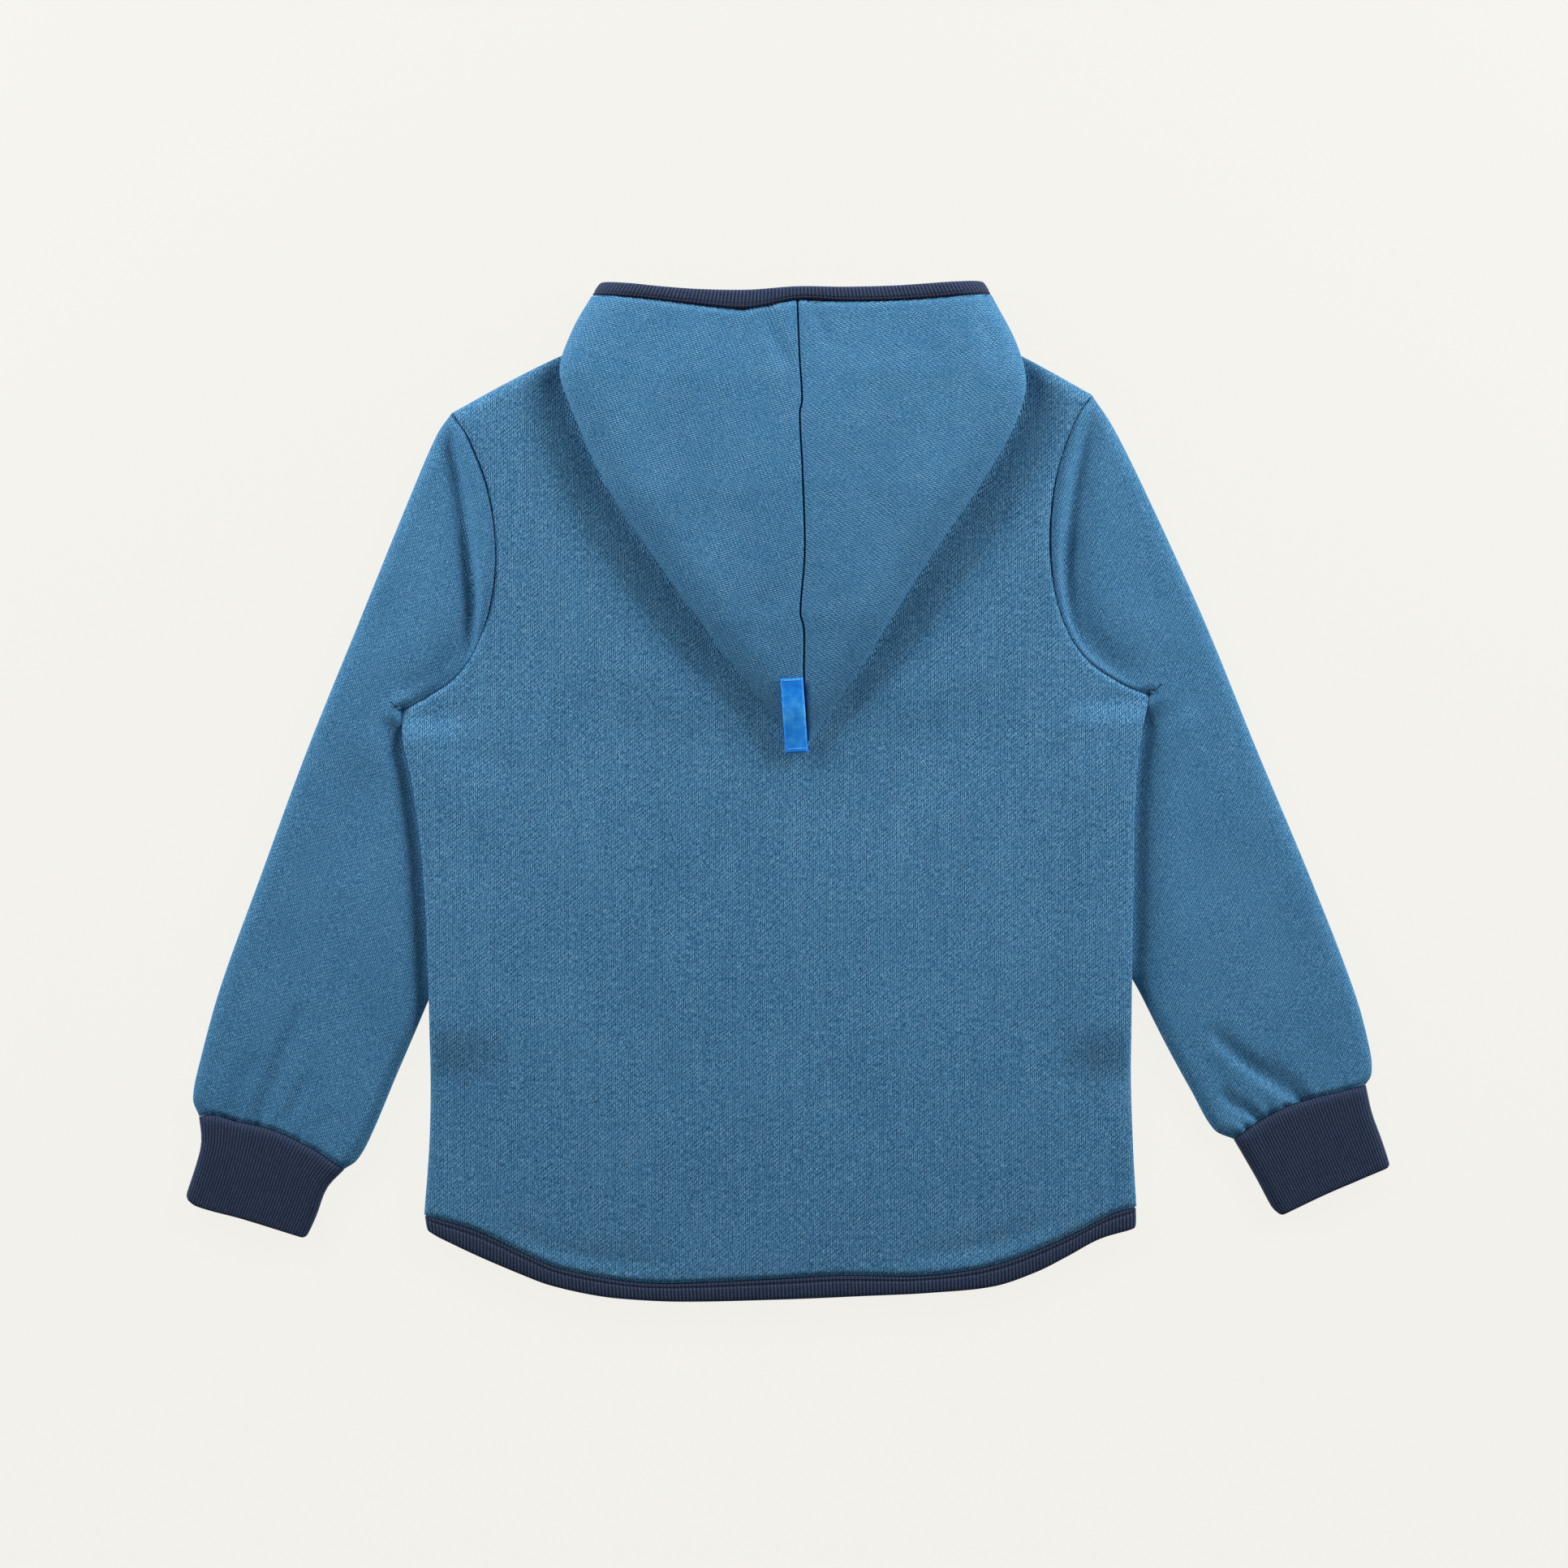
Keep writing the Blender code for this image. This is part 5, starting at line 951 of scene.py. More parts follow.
def cuff_skin(side):
    """Rows along the cuff of a closed ring of points: over the upper face and back under."""
    u = np.linspace(0, 1, CUFF_RIBS * RIB_POINTS + 1)
    v = CUFF_SHARES
    outer, inner = (along(CURVES[side][key], v) for key in ("cuff_outer", "cuff_inner"))
    start, end = (along(CURVES[side][key], u) for key in ("cuff_seam", "cuff_end"))
    plan = coons(start, end, outer, inner, np.tile(u, (len(v), 1)), v)
    axis = end.mean(0) - start.mean(0)
    length = np.linalg.norm(axis)
    plan += (axis / length)[None, None] * (SEAM * (1 - v))[:, None, None]
    width = np.linalg.norm(plan[:, -1] - plan[:, 0], axis=1)[:, None]
    from_side = np.minimum(u, 1 - u) * width
    share = rounding(from_side)
    corner = CORNER * (1 - rounding(from_side, CORNER)) * v[:, None] ** CORNER_RISE
    plan -= (axis / length) * corner[..., None]
    to_end = (1 - v) * length
    inset = TURN_IN * (1 - rounding(to_end, TURN_IN * TURN_REACH)) + SEAM_SINK * bump(v * length / SEAM_HALF)
    rise = RIB_RISE * ribs(CUFF_RIBS) * np.clip(share * RIB_FULL, 0, 1)
    height = (FOLD - inset[:, None]) * share
    upper = raised(plan, FOLD + height + rise - RIB_RISE / 2)
    lower = raised(plan, np.maximum(FOLD - height - rise, 0.0))
    across = rib_place(len(u))
    across = np.concatenate((across, across[-2:0:-1]))
    uv = np.stack(np.broadcast_arrays(across, (v * length)[:, None]), axis=-1) * MM
    return np.concatenate((upper, lower[:, -2:0:-1]), axis=1), uv.reshape(-1, 2)


cuffs = {}
for side in OUTLINES:
    skin, uv = cuff_skin(side)
    quads = quads_of(grid_index(*skin.shape[:2]), wrap=True)
    cuffs[side] = cloth(f"rib_cuff_{side}", skin, RIB_KNIT, TRIM - RIB_RISE, quads=quads, uv=uv)
    settle(cuffs[side], f"cuff_{side}")

# %% [markdown]
# ## The hood
# Two halves are sewn together along a centre seam from the face edge to the hood's point. Folded down on
# the back, each half runs from the seam out over a soft side fold and back underneath to the neck, where it
# is sewn in. Past the neck it goes round the shoulder's end to the front neckline. The upper layer stands
# clear of the lower one, because a hood keeps some of its roundness when it is laid down.

# %% Hood tables
AWAY = {"left": -1.0, "right": 1.0}      # sign of x away from the middle
HOOD_LENGTH, HOOD_WIDTH, ROW_STEP, COLUMN_STEP = 245.0, 120.0, 2.5, 2.6
GROOVE_COLUMNS = (0.0012, 0.0055)        # two more columns beside the centre seam
UNDER_COLUMNS = np.array((0.01, 0.025, 0.045, 0.075, 0.11, 0.15, 0.2, 0.35, 0.6, 0.8, 1.0))
FOLD_SPAN, GROOVE_START = 24, 30         # points a span of the fold; how soon the groove is at its full depth
HOOD_SWELL = (0.35, 45.0)                # height and size of the slow unevenness
NAPE_ROW, NECK_ROW = 0.80, 0.94
KEY_ROWS = (0.0, 0.03, 0.08, 0.15, 0.25, 0.36, 0.48, 0.60, 0.70, NAPE_ROW, 0.87, NECK_ROW,
            0.952, 0.964, 0.976, 0.988, 1.0)
HOOD_BED, HOOD_FOLD, HOOD_TOP, HOOD_REACH = 7.9, 15.5, 24.0, 24.0
MOUTH_START, MOUTH_DROP = 0.78, 9.1
TIP_END, TIP_DROP = 0.25, 5.1
SHORTEST_TURN, NECK_INSET, NECK_PASS = 12.0, 1.0, 1.2
SEAM_GROOVE = ((0.0, 3.4), (0.14, 3.0), (0.4, 1.4), (0.9, 0.6), (1.6, 0.2), (2.6, 0.0))   # distance, depth
UNDER_PART = 0.8                       # share of the underside's columns that lie before the neck edge
# Beyond the neck: share of the way to the face edge, y and z where a row passes the shoulder's end.
PASS = ((0.0, NECK_Y - 1.0, HOOD_BED), (0.2, NECK_Y + 1.5, 4.0), (0.4, NECK_Y + 2.0, 0.0),
        (0.6, NECK_Y + 3.6, 0.0), (0.8, NECK_Y + 5.5, 0.0), (1.0, NECK_Y + 7.5, 0.0))
SEWN = ((0.0, 0.0), (0.4, 0.05), (0.6, 0.3), (0.8, 0.62), (1.0, 0.92))
# Height of the upper layer from the tip to the face edge: share, at the seam, half way out.
HOOD_HEIGHTS = ((0.0, 12.0, 12.0), (0.10, 17.4, 17.0), (0.3, 22.4, 22.2), (0.6, HOOD_TOP, HOOD_TOP),
                (0.85, 21.2, 22.6), (1.0, 18.0, 19.4))
HOOD_CREASES = (
    (((-9, 262), (-10, 248), (-6, 236), (0, 222)), 1.9, 3.6),
    (((-22, 260), (-26, 244), (-24, 226)), 1.0, 4.0),
    (((13, 264), (16, 248), (22, 232)), 1.2, 3.4),
    (((100, 250), (108, 236), (112, 218)), 1.2, 4.0),
    (((-60, 250), (-74, 226), (-80, 200)), 0.7, 10.0),
    (((-30, 190), (-44, 160), (-40, 128)), 0.6, 12.0),
    (((60, 248), (78, 226), (84, 200)), 0.7, 10.0),
    (((34, 180), (46, 150), (40, 118)), 0.6, 12.0),
    (((-2, 110), (-14, 92), (-16, 74)), 0.6, 6.0),
    (((22, 106), (28, 90), (24, 72)), 0.5, 6.0),
)


# %% Hood halves
def hood_underside(side, v, start, start_z, c, q):
    """One row of the underside: c are shares from the fold to the neck edge, q from there to the face."""
    away = AWAY[side]
    inset = np.array((0.0, NECK_INSET))
    neck_end = np.array(BACK_NECK[0 if side == "left" else -1]) - inset
    every = np.concatenate((c * UNDER_PART, UNDER_PART + (1 - UNDER_PART) * q))
    if v <= NECK_ROW:
        tip, nape = np.array(HOOD_SEAM[0]), np.array(BACK_NECK[2]) - inset
        end = tip + (nape - tip) * v / NAPE_ROW + (away * HALF_SEAM, 0.0)
        if v > NAPE_ROW:
            half = smooth_curve(BACK_NECK[2::-1] if side == "left" else BACK_NECK[2:])
            end = along(half, [(v - NAPE_ROW) / (NECK_ROW - NAPE_ROW)])[0] - inset
        plan, bed = start + every[:, None] * (end - start), HOOD_BED
    else:
        g = (v - NECK_ROW) / (1 - NECK_ROW)
        steps, sewn = np.array(PASS), np.array(SEWN)
        end = np.array((neck_end[0] + away, np.interp(g, steps[:, 0], steps[:, 1])))
        bed = np.interp(g, steps[:, 0], steps[:, 2])
        neck = moved_away(CURVES[side]["front_neck"], (neck_end[0], CHEST_Y), SEAM)
        reach = np.interp(g, sewn[:, 0], sewn[:, 1])
        if g < 0.39:
            crescent = end + q[:, None] * (neck[0] + (0.0, NECK_PASS) - end)
        else:
            share = g * (1 - q) ** (1 - g) if g < 0.999 else np.ones_like(q)
            face = along(face_curve(side), reach / sewn[-1, 1] * q)
            crescent = along(neck, reach * q)
            crescent = crescent + share[:, None] * (face - crescent)
        plan = np.vstack((start + c[:, None] * (end - start), crescent))
    run = every * max(np.linalg.norm(end - start), SHORTEST_TURN)
    return raised(plan, start_z + (bed - start_z) * rounding(run))


def face_curve(side):
    """The hood's face edge on the garment's front, from the shoulder's end to beside the zip."""
    table = OUTLINES[side]
    neck = moved_away(CURVES[side]["front_neck"], (table["front_neck"][0][0], CHEST_Y), SEAM)
    return smooth_curve(np.vstack((table["face_front"], along(neck, (SEWN[-1][1],)))))


def fold_height(v):
    """Height of the side fold, which comes down to the tip and to the mouth."""
    tip = TIP_DROP * (1 - ease(v / TIP_END))
    return HOOD_FOLD - tip - MOUTH_DROP * ease((v - MOUTH_START) / (1 - MOUTH_START))


def plateau(v, u):
    """Height of the upper layer before it rounds over: as far up the hood as v, as far out as u."""
    heights = np.array(HOOD_HEIGHTS)
    middle, half_way = (np.interp(v, heights[:, 0], heights[:, k])[:, None] for k in (1, 2))
    return middle + (half_way - middle) * np.sin(np.pi * np.minimum(u, 0.5))


def hood_upper(side, v, u):
    """Upper layer: a Coons patch in plan, raised from the side fold in a wide round."""
    seam = along(CENTRE_SEAM, v)
    fold = along(smooth_curve(OUTLINES[side]["hood_fold"], FOLD_SPAN), v)
    fold[0] = seam[0]
    edge = CURVES[side]["hood_edge"]
    mouth = along(edge, u)
    plan = coons(np.tile(seam[0], (len(u), 1)), mouth, seam, fold, np.tile(u, (len(v), 1)), v)
    out = np.maximum(np.linalg.norm(fold - seam, axis=1), SHORTEST_TURN)[:, None]
    base = fold_height(v)[:, None]
    share = rounding((1 - u) * out, HOOD_REACH)
    relief = (troughs(plan, HOOD_CREASES) + swell(plan, *HOOD_SWELL)) * share
    groove = np.array(SEAM_GROOVE)
    sunk = np.interp(distance(plan, CENTRE_SEAM), groove[:, 0], groove[:, 1])
    relief -= sunk * ease(v * GROOVE_START)[:, None]
    relief -= SEAM_SINK * bump(distance(plan, edge) / SEAM_HALF)
    return raised(plan, base + (plateau(v, u) - base) * share + relief), fold


def hood_skin(side):
    """The whole half: the upper layer's columns, then the underside's, resampled from its key rows."""
    v = spaced(HOOD_LENGTH, ROW_STEP, start=False)
    u = np.sort(np.append(spaced(HOOD_WIDTH, COLUMN_STEP), GROOVE_COLUMNS))
    upper, fold = hood_upper(side, v, u)
    q = np.linspace(0, 1, 9)[1:]
    keys = np.array(KEY_ROWS)
    _, key_fold = hood_upper(side, keys, np.array((0.0, 1.0)))
    starts = raised(key_fold, fold_height(keys))
    under = np.array([hood_underside(side, row, s[:2], s[2], UNDER_COLUMNS, q) - s
                      for row, s in zip(keys, starts)])
    place = np.clip(np.searchsorted(keys, v, side="right") - 1, 0, len(keys) - 2)
    mix = ((v - keys[place]) / (keys[place + 1] - keys[place]))[:, None, None]
    offset = (1 - mix) * under[place] + mix * under[place + 1]
    return np.concatenate((upper, raised(fold, fold_height(v))[:, None] + offset), axis=1)


HOOD_GRAIN = {"left": 73.0, "right": -77.0}      # the hood is cut across the grain
hood_skins = {side: hood_skin(side) for side in OUTLINES}
hoods = {}
for side, skin in hood_skins.items():
    hoods[side] = cloth(f"hood_half_{side}", skin, HOOD_KNIT, CLOTH, HOOD_GRAIN[side])
    settle(hoods[side], f"hood_{side}")

# %% [markdown]
# ## Ribbed bindings
# The hem and the hood's face edge are bound with a folded strip of the same rib. A band is a closed section
# carried along its seam: it sinks at the seam, has a groove where it is stitched down, then stands round to
# its folded edge. The ribs run across the band, six points each.

# %% Bands
# Across the band: share of its width, height above its face, how much a rib raises it.
SECTION = np.array((
    (0.0, -1.3, 0.0), (0.05, -0.55, 0.2), (0.11, -0.15, 0.5), (0.17, -0.1, 0.5), (0.225, -0.5, 0.1),
    (0.28, -0.08, 0.6), (0.36, 0.0, 1.0), (0.52, 0.02, 1.0), (0.68, 0.0, 1.0), (0.82, -0.1, 1.0),
    (0.92, -0.38, 0.9), (0.98, -0.8, 0.6), (1.0, -1.25, 0.4), (0.975, -1.75, 0.2), (0.9, -2.2, 0.0),
    (0.75, -2.4, 0.0), (0.4, -2.4, 0.0), (-0.12, -2.4, 0.0), (-0.12, -2.1, 0.0)))


def band(name, near, far, normal, rib_height):
    """A closed section carried along near (the seam) and far (the folded edge)."""
    s, h, r = (SECTION[:, k][None, :, None] for k in range(3))
    loop = near[:, None] + s * (far - near)[:, None] + normal[:, None] * (h + r * rib_height[:, None, None])
    loop[..., 2] = np.maximum(loop[..., 2], 0.0)
    rings, points = grid_index(*loop.shape[:2]), loop.reshape(-1, 3)
    faces = closed(rings, signed_volume(points, quads_of(rings, wrap=True)) < 0)
    width = np.linalg.norm(far - near, axis=1)[:, None] * SECTION[None, :, 0]
    uv = np.stack((np.broadcast_to(rib_place(len(near))[:, None], width.shape), width), axis=-1) * MM
    return add_piece(name, points, faces, BAND_KNIT, uv.reshape(-1, 2))


def across_band(near, far, face):
    """Unit normals of a band's face, up or down, square to both its directions."""
    normal = unit(np.cross(np.gradient(near, axis=0), far - near))
    return normal * np.where(normal[:, 2:] * face < 0, -1.0, 1.0)


def hem_lines(plan, edge, face):
    """Seam and folded edge of a hem band at the height of the panel above it."""
    near = body_surface(plan, face)
    near[:, :2] += unit(edge - plan) * SEAM
    return near, raised(edge, near[:, 2])


HEM_RIBS = 200
BAND_RIB = 0.4
share = np.linspace(0, 1, HEM_RIBS * RIB_POINTS + 1)
near, far = hem_lines(along(HEM_SEAM_CURVE, share), along(HEM_EDGE_CURVE, share), UPPER)
hem_back_lines = near, far, across_band(near, far, UPPER)
hem_back = band("hem_band_back", *hem_back_lines, BAND_RIB * (ribs(HEM_RIBS) - 0.5))
settle(hem_back, "hem_back")

hem_fronts = {}
for side in OUTLINES:
    end_x = zip_edge(side, (0.0,))[0, 0]
    part = (end_x - HEM_SEAM[0][0]) / (HEM_SEAM[-1][0] - HEM_SEAM[0][0])
    reach = part if side == "left" else 1 - part
    count = int(HEM_RIBS * reach)
    share = np.linspace(0, reach, count * RIB_POINTS + 1)
    if side == "right":
        share = 1 - share
    near, far = hem_lines(along(HEM_SEAM_CURVE, share), along(HEM_EDGE_CURVE, share), LOWER)
    near[:, 2] += BAND_RIB / 2
    far[:, 2] += BAND_RIB / 2
    hem_fronts[side] = band(f"hem_band_front_{side}", near, far, across_band(near, far, LOWER),
                            BAND_RIB * (ribs(count) - 0.5))
    settle(hem_fronts[side], f"hem_front_{side}")

# %% [markdown]
# ## The hood's binding
# It runs from beside the zip up the neck edge, round the shoulder's end, over the side fold, across the top
# and down the other side. Its lines come from the hood's own last row, so the band stays sewn to it.

# %% Hood binding
MOUTH_COLUMNS = np.array((0.0, 0.25, 0.5, 0.7, 0.84, 0.93, 0.98, 1.0))
FRONT_BAND = 7.6                          # width of the binding on the garment's front
BEND = (12, 40)                           # where it turns to that width, past the fold, and over what length
RIB_PITCH = 2.0


def mouth_lines(side):
    """Sewn and folded edge of one half of the binding, from the centre seam to the front neck."""
    upper, fold = hood_upper(side, np.array((0.0, 1.0)), MOUTH_COLUMNS)
    start = np.array((*fold[-1], fold_height(1.0)))
    under = hood_underside(side, 1.0, start[:2], start[2], np.array((0.025, 0.075, 0.2, 0.6, 1.0)),
                           np.linspace(0, 1, 7)[1:])
    top = upper[-1, :-1]
    top[:, 2] = mouth_height(MOUTH_COLUMNS[:-1], side)
    run = lengths(np.vstack((top, start))[:, :2])
    outer = along(CURVES[side]["binding_edge"], run[:-1] / run[-1])
    toward = outer - top[:, :2]
    reach = np.linalg.norm(toward, axis=1)
    toward /= reach[:, None]
    rest = np.vstack((start, under))
    bend = ease((lengths(rest) - BEND[0]) / BEND[1])[:, None]
    sideways = unit(bend * leftward(rest) * -AWAY[side] + (1 - bend) * toward[-1])
    near = np.vstack((top, rest))
    out = np.vstack((toward, sideways))
    width = np.concatenate((reach - SEAM, reach[-1] - SEAM + (FRONT_BAND - reach[-1] + SEAM) * bend[:, 0]))
    far = near.copy()
    far[:, :2] += out * (SEAM + width)[:, None]
    near[:, :2] += out * SEAM
    return near, far


def mouth_height(u, side):
    """Height of the hood's last row without its creases."""
    edge = OUTLINES[side]["hood_edge"]
    base = fold_height(1.0)
    level = plateau(np.ones(1), u)[0]
    return base + (level - base) * rounding((1 - u) * abs(edge[-1][0] - edge[0][0]), HOOD_REACH)


halves = {side: mouth_lines(side) for side in OUTLINES}
near, far = (smooth_curve(np.vstack((left[::-1], right[1:])), 16)
             for left, right in zip(halves["left"], halves["right"]))
run = lengths(near)
count = int(run[-1] / RIB_PITCH)
share = np.linspace(0, run[-1], count * RIB_POINTS + 1)
near, far = (read_line(line, run, share) for line in (near, far))
normal = unit(np.cross(np.gradient(near, axis=0), far - near))
if normal[len(normal) // 2, 2] < 0:
    normal = -normal
mouth_band_lines = near, far, normal
hood_band = band("hood_band", near, far, normal, BAND_RIB * (ribs(count) - 0.5))
settle(hood_band, "hood_binding")

# %% [markdown]
# ## Stitches
# A stitch is a short capsule of thread that lies along the seam, half sunk in the cloth. One function lays
# a row of them along any line; each has 30 faces, so a few hundred cost little.

# %% Stitches
STITCH, STITCH_GAP, THREAD = 2.1, 0.7, 0.28       # length, gap to the next, radius of the thread
SIDES = 6                                         # of a capsule
STITCH_PLACE = (0.225, -0.42)     # on a band: share of its width, height, in the groove of its section
CAPSULE = np.array(((-0.5, 0.0), (-0.42, 0.75), (-0.2, 1.0), (0.2, 1.0), (0.42, 0.75), (0.5, 0.0)))


def stitch_row(name, line, normal, material, length=STITCH, gap=STITCH_GAP, radius=THREAD):
    """Capsules along a line: rings of six points, scaled along it and out from it."""
    run = lengths(line)
    count = int(run[-1] / (length + gap))
    centre_run = (np.arange(count) + 0.5) * run[-1] / count
    where, up = (read_line(what, run, centre_run) for what in (line, normal))
    forward = unit(read_line(line, run, centre_run + 0.5) - where)
    side = unit(np.cross(up, forward))
    turn = np.arange(SIDES) * 2 * np.pi / SIDES
    along_it, out = CAPSULE[:, 0] * length, CAPSULE[:, 1] * radius
    ring = (np.cos(turn)[:, None] * side[:, None, None] + np.sin(turn)[:, None] * up[:, None, None])
    points = (where[:, None, None] + along_it[None, :, None, None] * forward[:, None, None]
              + out[None, :, None, None] * ring)
    index = grid_index(count, len(CAPSULE), SIDES)
    quads = np.concatenate([quads_of(stitch, wrap=True) for stitch in index])
    flat = points.reshape(-1, 3)
    if signed_volume(flat[:len(CAPSULE) * SIDES], quads[:(len(CAPSULE) - 1) * SIDES]) < 0:
        quads = quads[:, ::-1]
    return add_piece(name, flat, quads.tolist(), material, grain_uv(flat, 0.0))


def on_band(lines, share, height):
    """A line that runs along a band at this share of its width."""
    near, far, normal = lines
    return near + share * (far - near) + height * normal, normal


hem_stitches = stitch_row("hem_stitches", *on_band(hem_back_lines, *STITCH_PLACE), NAVY_THREAD)
settle(hem_stitches, None)
mouth_stitches = stitch_row("hood_band_stitches", *on_band(mouth_band_lines, *STITCH_PLACE), NAVY_THREAD)
settle(mouth_stitches, None)

# %% [markdown]
# ## The label
# A short satin ribbon is caught in the hood's point. It lies on the knit, follows its fall and ends a
# little past the tip. It is bare. Two short rows of lighter stitches hold its ends.

# %% Label
LABEL = np.array(((1.9, 59.5), (4.6, 20.5)))
LABEL_WIDTH, LABEL_THICK, LABEL_LIFT, LABEL_CROWN = 12.0, 0.8, 1.1, 0.35
UNDER_REACH, STEEPEST = 3.0, 0.3        # mm to the cloth that bears a place; fall a mm along the ribbon
POINT_COLUMNS, POINT_TOP = 40, 80       # columns and height of the hood's point, on which it lies
RIPPLE, RIPPLE_TURN = 0.25, 9           # mm and radians along the ribbon
LABEL_STITCH, LABEL_GAP, LABEL_YARN = 1.0, 0.45, 0.16


def label_skin():
    """A strip that lies on the hood's point: its height is the highest cloth within reach of each place."""
    share = np.linspace(0, 1, 40)
    side = np.linspace(-0.5, 0.5, 9)
    forward = unit(LABEL[1] - LABEL[0])
    across = np.array((-forward[1], forward[0]))
    plan = LABEL[0] + share[:, None, None] * (LABEL[1] - LABEL[0]) + (side * LABEL_WIDTH)[:, None] * across
    cloth_points = np.vstack([skin[:, :POINT_COLUMNS].reshape(-1, 3) for skin in hood_skins.values()])
    cloth_points = cloth_points[cloth_points[:, 1] < POINT_TOP]
    gap = np.linalg.norm(plan[:, :, None] - cloth_points[:, :2], axis=-1)
    height = np.where(gap < UNDER_REACH, cloth_points[:, 2], 0.0).max(axis=(1, 2))
    rest = np.minimum.accumulate(np.maximum(height, 0))
    span = np.linalg.norm(LABEL[1] - LABEL[0]) / (len(share) - 1)
    for k in range(1, len(rest)):
        rest[k] = max(rest[k], rest[k - 1] - span * STEEPEST)
    rest = np.convolve(np.pad(rest, 2, mode="edge"), np.ones(5) / 5, mode="valid")
    crown = LABEL_CROWN * (1 - (2 * side) ** 2)
    ripple = RIPPLE * np.sin(share * RIPPLE_TURN)[:, None] * side
    return raised(plan, rest[:, None] + LABEL_LIFT + crown + ripple)


label_points = label_skin()
label = settle(cloth("satin_label", label_points, SATIN, LABEL_THICK, facing="up"), "label")
for name, row in (("label_stitches_top", 1), ("label_stitches_tip", -3)):
    line = label_points[row, 1:-1] + (0.0, 0.0, 0.1)
    upward = np.tile((0.0, 0.0, 1.0), (len(line), 1))
    stitches = stitch_row(name, line, upward, LABEL_THREAD, LABEL_STITCH, LABEL_GAP, LABEL_YARN)
    settle(stitches, None)
print("label box, mm:", label_points.min((0, 1)).round(1), label_points.max((0, 1)).round(1))

# %% [markdown]
# ## The zip
# It lies between the fronts, face down. Its tapes are one woven strip here, with a row of moulded teeth that
# mesh from the two sides. The slider sits near the neck, and its pull tab lies along the chain. Both are
# plain metal, so their solids are shown as they are.

# %% Zip tapes and teeth
TAPE_LOW, TAPE_HIGH, TAPE_HALF = 3.5, 4.1, 12.0
CHAIN_LOW, CHAIN_HIGH = 2.5, 4.8
TOOTH_PITCH, TOOTH_EDGE, TOOTH_TAPER = 1.3, 0.35, 0.82     # mm, mm of bevel, share of its size beyond it
ZIP_END, TAPE_RIPPLE = 2.0, 0.12                           # mm from the neck to the tapes' end; thread relief
zip_ends = np.array(ZIP_LINE)
zip_ends[1] -= (zip_ends[1] - zip_ends[0]) * ZIP_END / np.linalg.norm(zip_ends[1] - zip_ends[0])
zip_run = np.linalg.norm(zip_ends[1] - zip_ends[0])
zip_ahead = unit(zip_ends[1] - zip_ends[0])
zip_across = np.array((zip_ahead[1], -zip_ahead[0]))

share = np.linspace(0, 1, 120)
side = np.array((-1.0, -0.96, -0.6, -0.3, -0.1, 0.1, 0.3, 0.6, 0.96, 1.0))
plan = (zip_ends[0] + share[:, None, None] * (zip_ends[1] - zip_ends[0])
        + (side * TAPE_HALF)[:, None] * zip_across)
tape_points = raised(plan, TAPE_LOW + TAPE_RIPPLE * np.cos(side * 2 * np.pi))
zip_tape = cloth("zip_tapes", tape_points, TAPE, TAPE_HIGH - TAPE_LOW, facing="down")
settle(zip_tape, "zip")

# Outline of a tooth in plan, from its root on the tape to its head past the middle.
TOOTH = np.array(((-2.5, -0.36), (-0.6, -0.36), (0.1, -0.5), (0.75, -0.42), (0.95, 0.0), (0.75, 0.42),
                  (0.1, 0.5), (-0.6, 0.36), (-2.5, 0.36)))
count = int(zip_run / TOOTH_PITCH)
place = zip_ends[0] + ((np.arange(count) + 0.5) * zip_run / count)[:, None] * zip_ahead
hand = np.where(np.arange(count) % 2 == 0, 1.0, -1.0)[:, None, None]
outline = (place[:, None] + hand * TOOTH[None, :, :1] * zip_across + TOOTH[None, :, 1:] * zip_ahead)
levels = np.array((CHAIN_LOW, CHAIN_LOW + TOOTH_EDGE, CHAIN_HIGH - TOOTH_EDGE, CHAIN_HIGH))
inset = np.array((TOOTH_TAPER, 1.0, 1.0, TOOTH_TAPER))
centre = outline.mean(1, keepdims=True)
rings = centre[:, None] + (outline - centre)[:, None] * inset[None, :, None, None]
teeth_points = raised(rings, levels[:, None]).reshape(-1, 3)
faces = []
for number, tooth in enumerate(grid_index(*rings.shape[:3])):
    faces += closed(tooth, number % 2)
zip_teeth = add_piece("zip_teeth", teeth_points, faces, TOOTH_PLASTIC, grain_uv(teeth_points, 0.0))
settle(zip_teeth, None)
print("teeth:", count)

# %% Zip slider and pull tab
for node_name in ("zip_slider", "zip_pull"):
    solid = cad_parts[node_name]
    solid.data.materials.clear()
    solid.data.materials.append(NICKEL)

# %% [markdown]
# ## What is cloth
# Fifteen pieces are cloth: the back, the fronts, the sleeves, the cuffs, the hood's halves, the three hem
# bands, the hood's binding, the label and the zip's tapes.

# %% Sheets
print("cloth pieces: 15")

# %% [markdown]
# ## Floor, light and camera
# The jacket lies on a pale floor that glows. Two low softboxes stand past the hood, one to each side, and a
# weak sky fills in. That gives the even light of a product photograph, with wide soft shadows beside the
# hood and at the body's lower sides. The camera looks straight down.


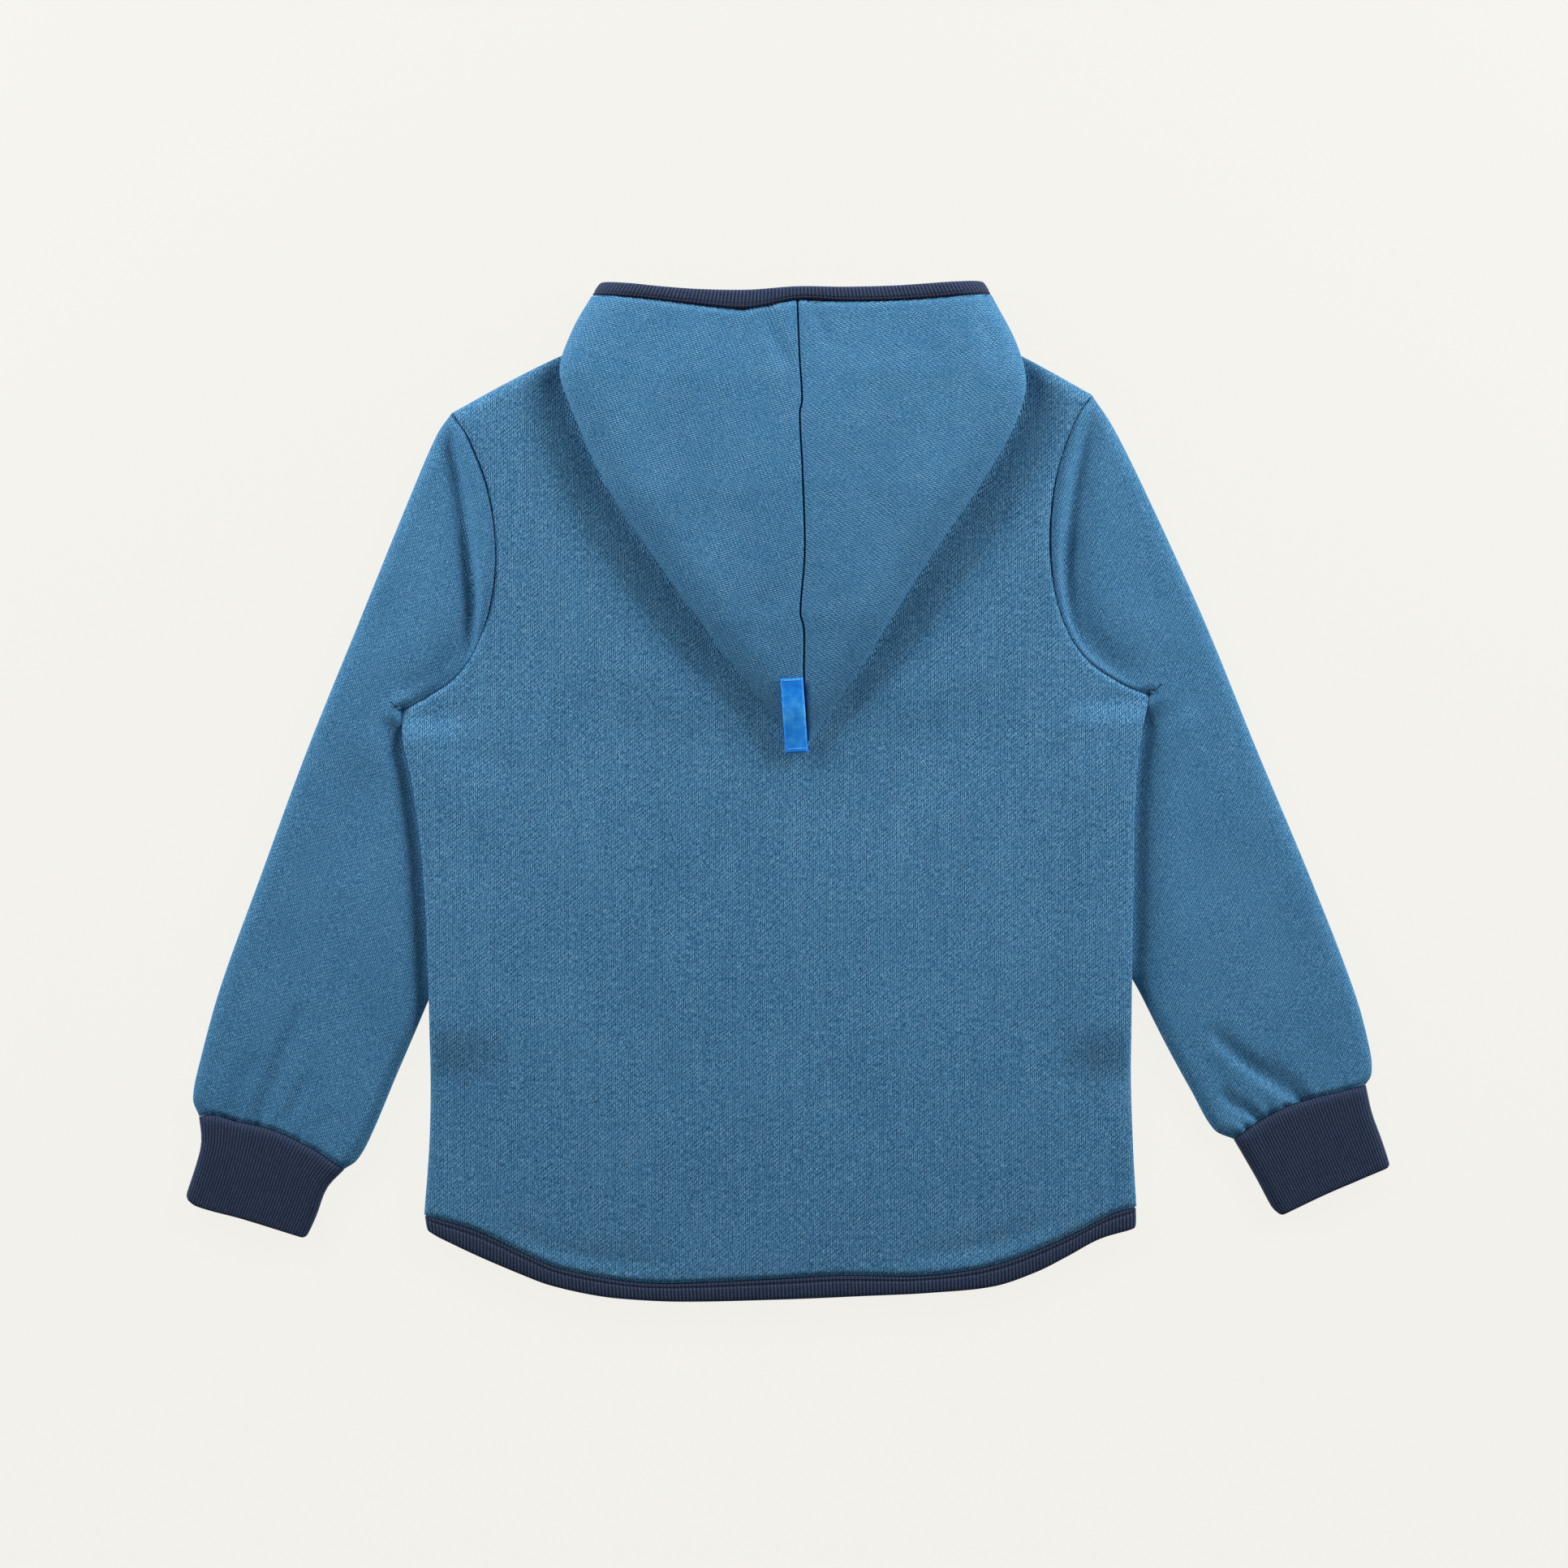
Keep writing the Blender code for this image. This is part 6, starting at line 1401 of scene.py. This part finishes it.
# %% Floor and light
def pale_floor():
    """A large plane just below the cloth that glows as a light table does, so that its shadows stay pale."""
    mesh = bpy.data.meshes.new("floor")
    half, low = 12.0, -0.0003
    mesh.from_pydata([(-half, -half, low), (half, -half, low), (half, half, low), (-half, half, low)], [],
                     [(0, 1, 2, 3)])
    material, _ = new_material("pale light table")
    shade(material, linear("#343433"), Emission_Color=linear("#f5f4ef"), Emission_Strength=0.945,
          Roughness=1.0, Specular_IOR_Level=0.0)
    mesh.materials.append(material)
    made = bpy.data.objects.new("floor", mesh)
    bpy.context.scene.collection.objects.link(made)


BOX_HEIGHT, BOX_AWAY, BOX_SIZE = 19.0, 1.4, (1.1, 0.55)      # degrees above the floor, metres, metres


def softbox(name, bearing, share):
    """A large area light that looks at the jacket. bearing: degrees from +Y towards +X. share is the part of
    the flat cloth's light that it gives, and its power follows from P = share pi^2 away^2 / sin(height)."""
    data = bpy.data.lights.new(name, "AREA")
    data.shape = "RECTANGLE"
    data.size, data.size_y = BOX_SIZE
    turn, rise = np.radians(bearing), np.radians(BOX_HEIGHT)
    data.energy = share * np.pi**2 * BOX_AWAY**2 / np.sin(rise)
    lamp = bpy.data.objects.new(name, data)
    level = BOX_AWAY * np.cos(rise)
    lamp.location = (level * np.sin(turn), level * np.cos(turn), BOX_AWAY * np.sin(rise))
    lamp.rotation_euler = (np.pi / 2 - rise, 0.0, np.pi - turn)
    lamp.visible_camera = False
    bpy.context.scene.collection.objects.link(lamp)


pale_floor()
softbox("softbox right", 52.0, 0.44)
softbox("softbox left", -50.0, 0.40)
sky = bpy.data.worlds.new("studio")
sky.use_nodes = True
sky.node_tree.nodes["Background"].inputs["Color"].default_value = linear("#ffffff")
sky.node_tree.nodes["Background"].inputs["Strength"].default_value = 0.18
bpy.context.scene.world = sky
bpy.context.scene.view_settings.view_transform = "Standard"

# %% Camera
PICTURE_WIDTH = 0.831              # metres across the picture
CAMERA_PLACE, CAMERA_HEIGHT = (-0.00215, 0.00387), 2.4
camera_data = bpy.data.cameras.new("camera")
camera_data.sensor_width = 36.0
camera_data.lens = camera_data.sensor_width * (CAMERA_HEIGHT - LAID * MM) / PICTURE_WIDTH
camera = bpy.data.objects.new("camera", camera_data)
camera.location = (*CAMERA_PLACE, CAMERA_HEIGHT)
bpy.context.scene.collection.objects.link(camera)
bpy.context.scene.camera = camera
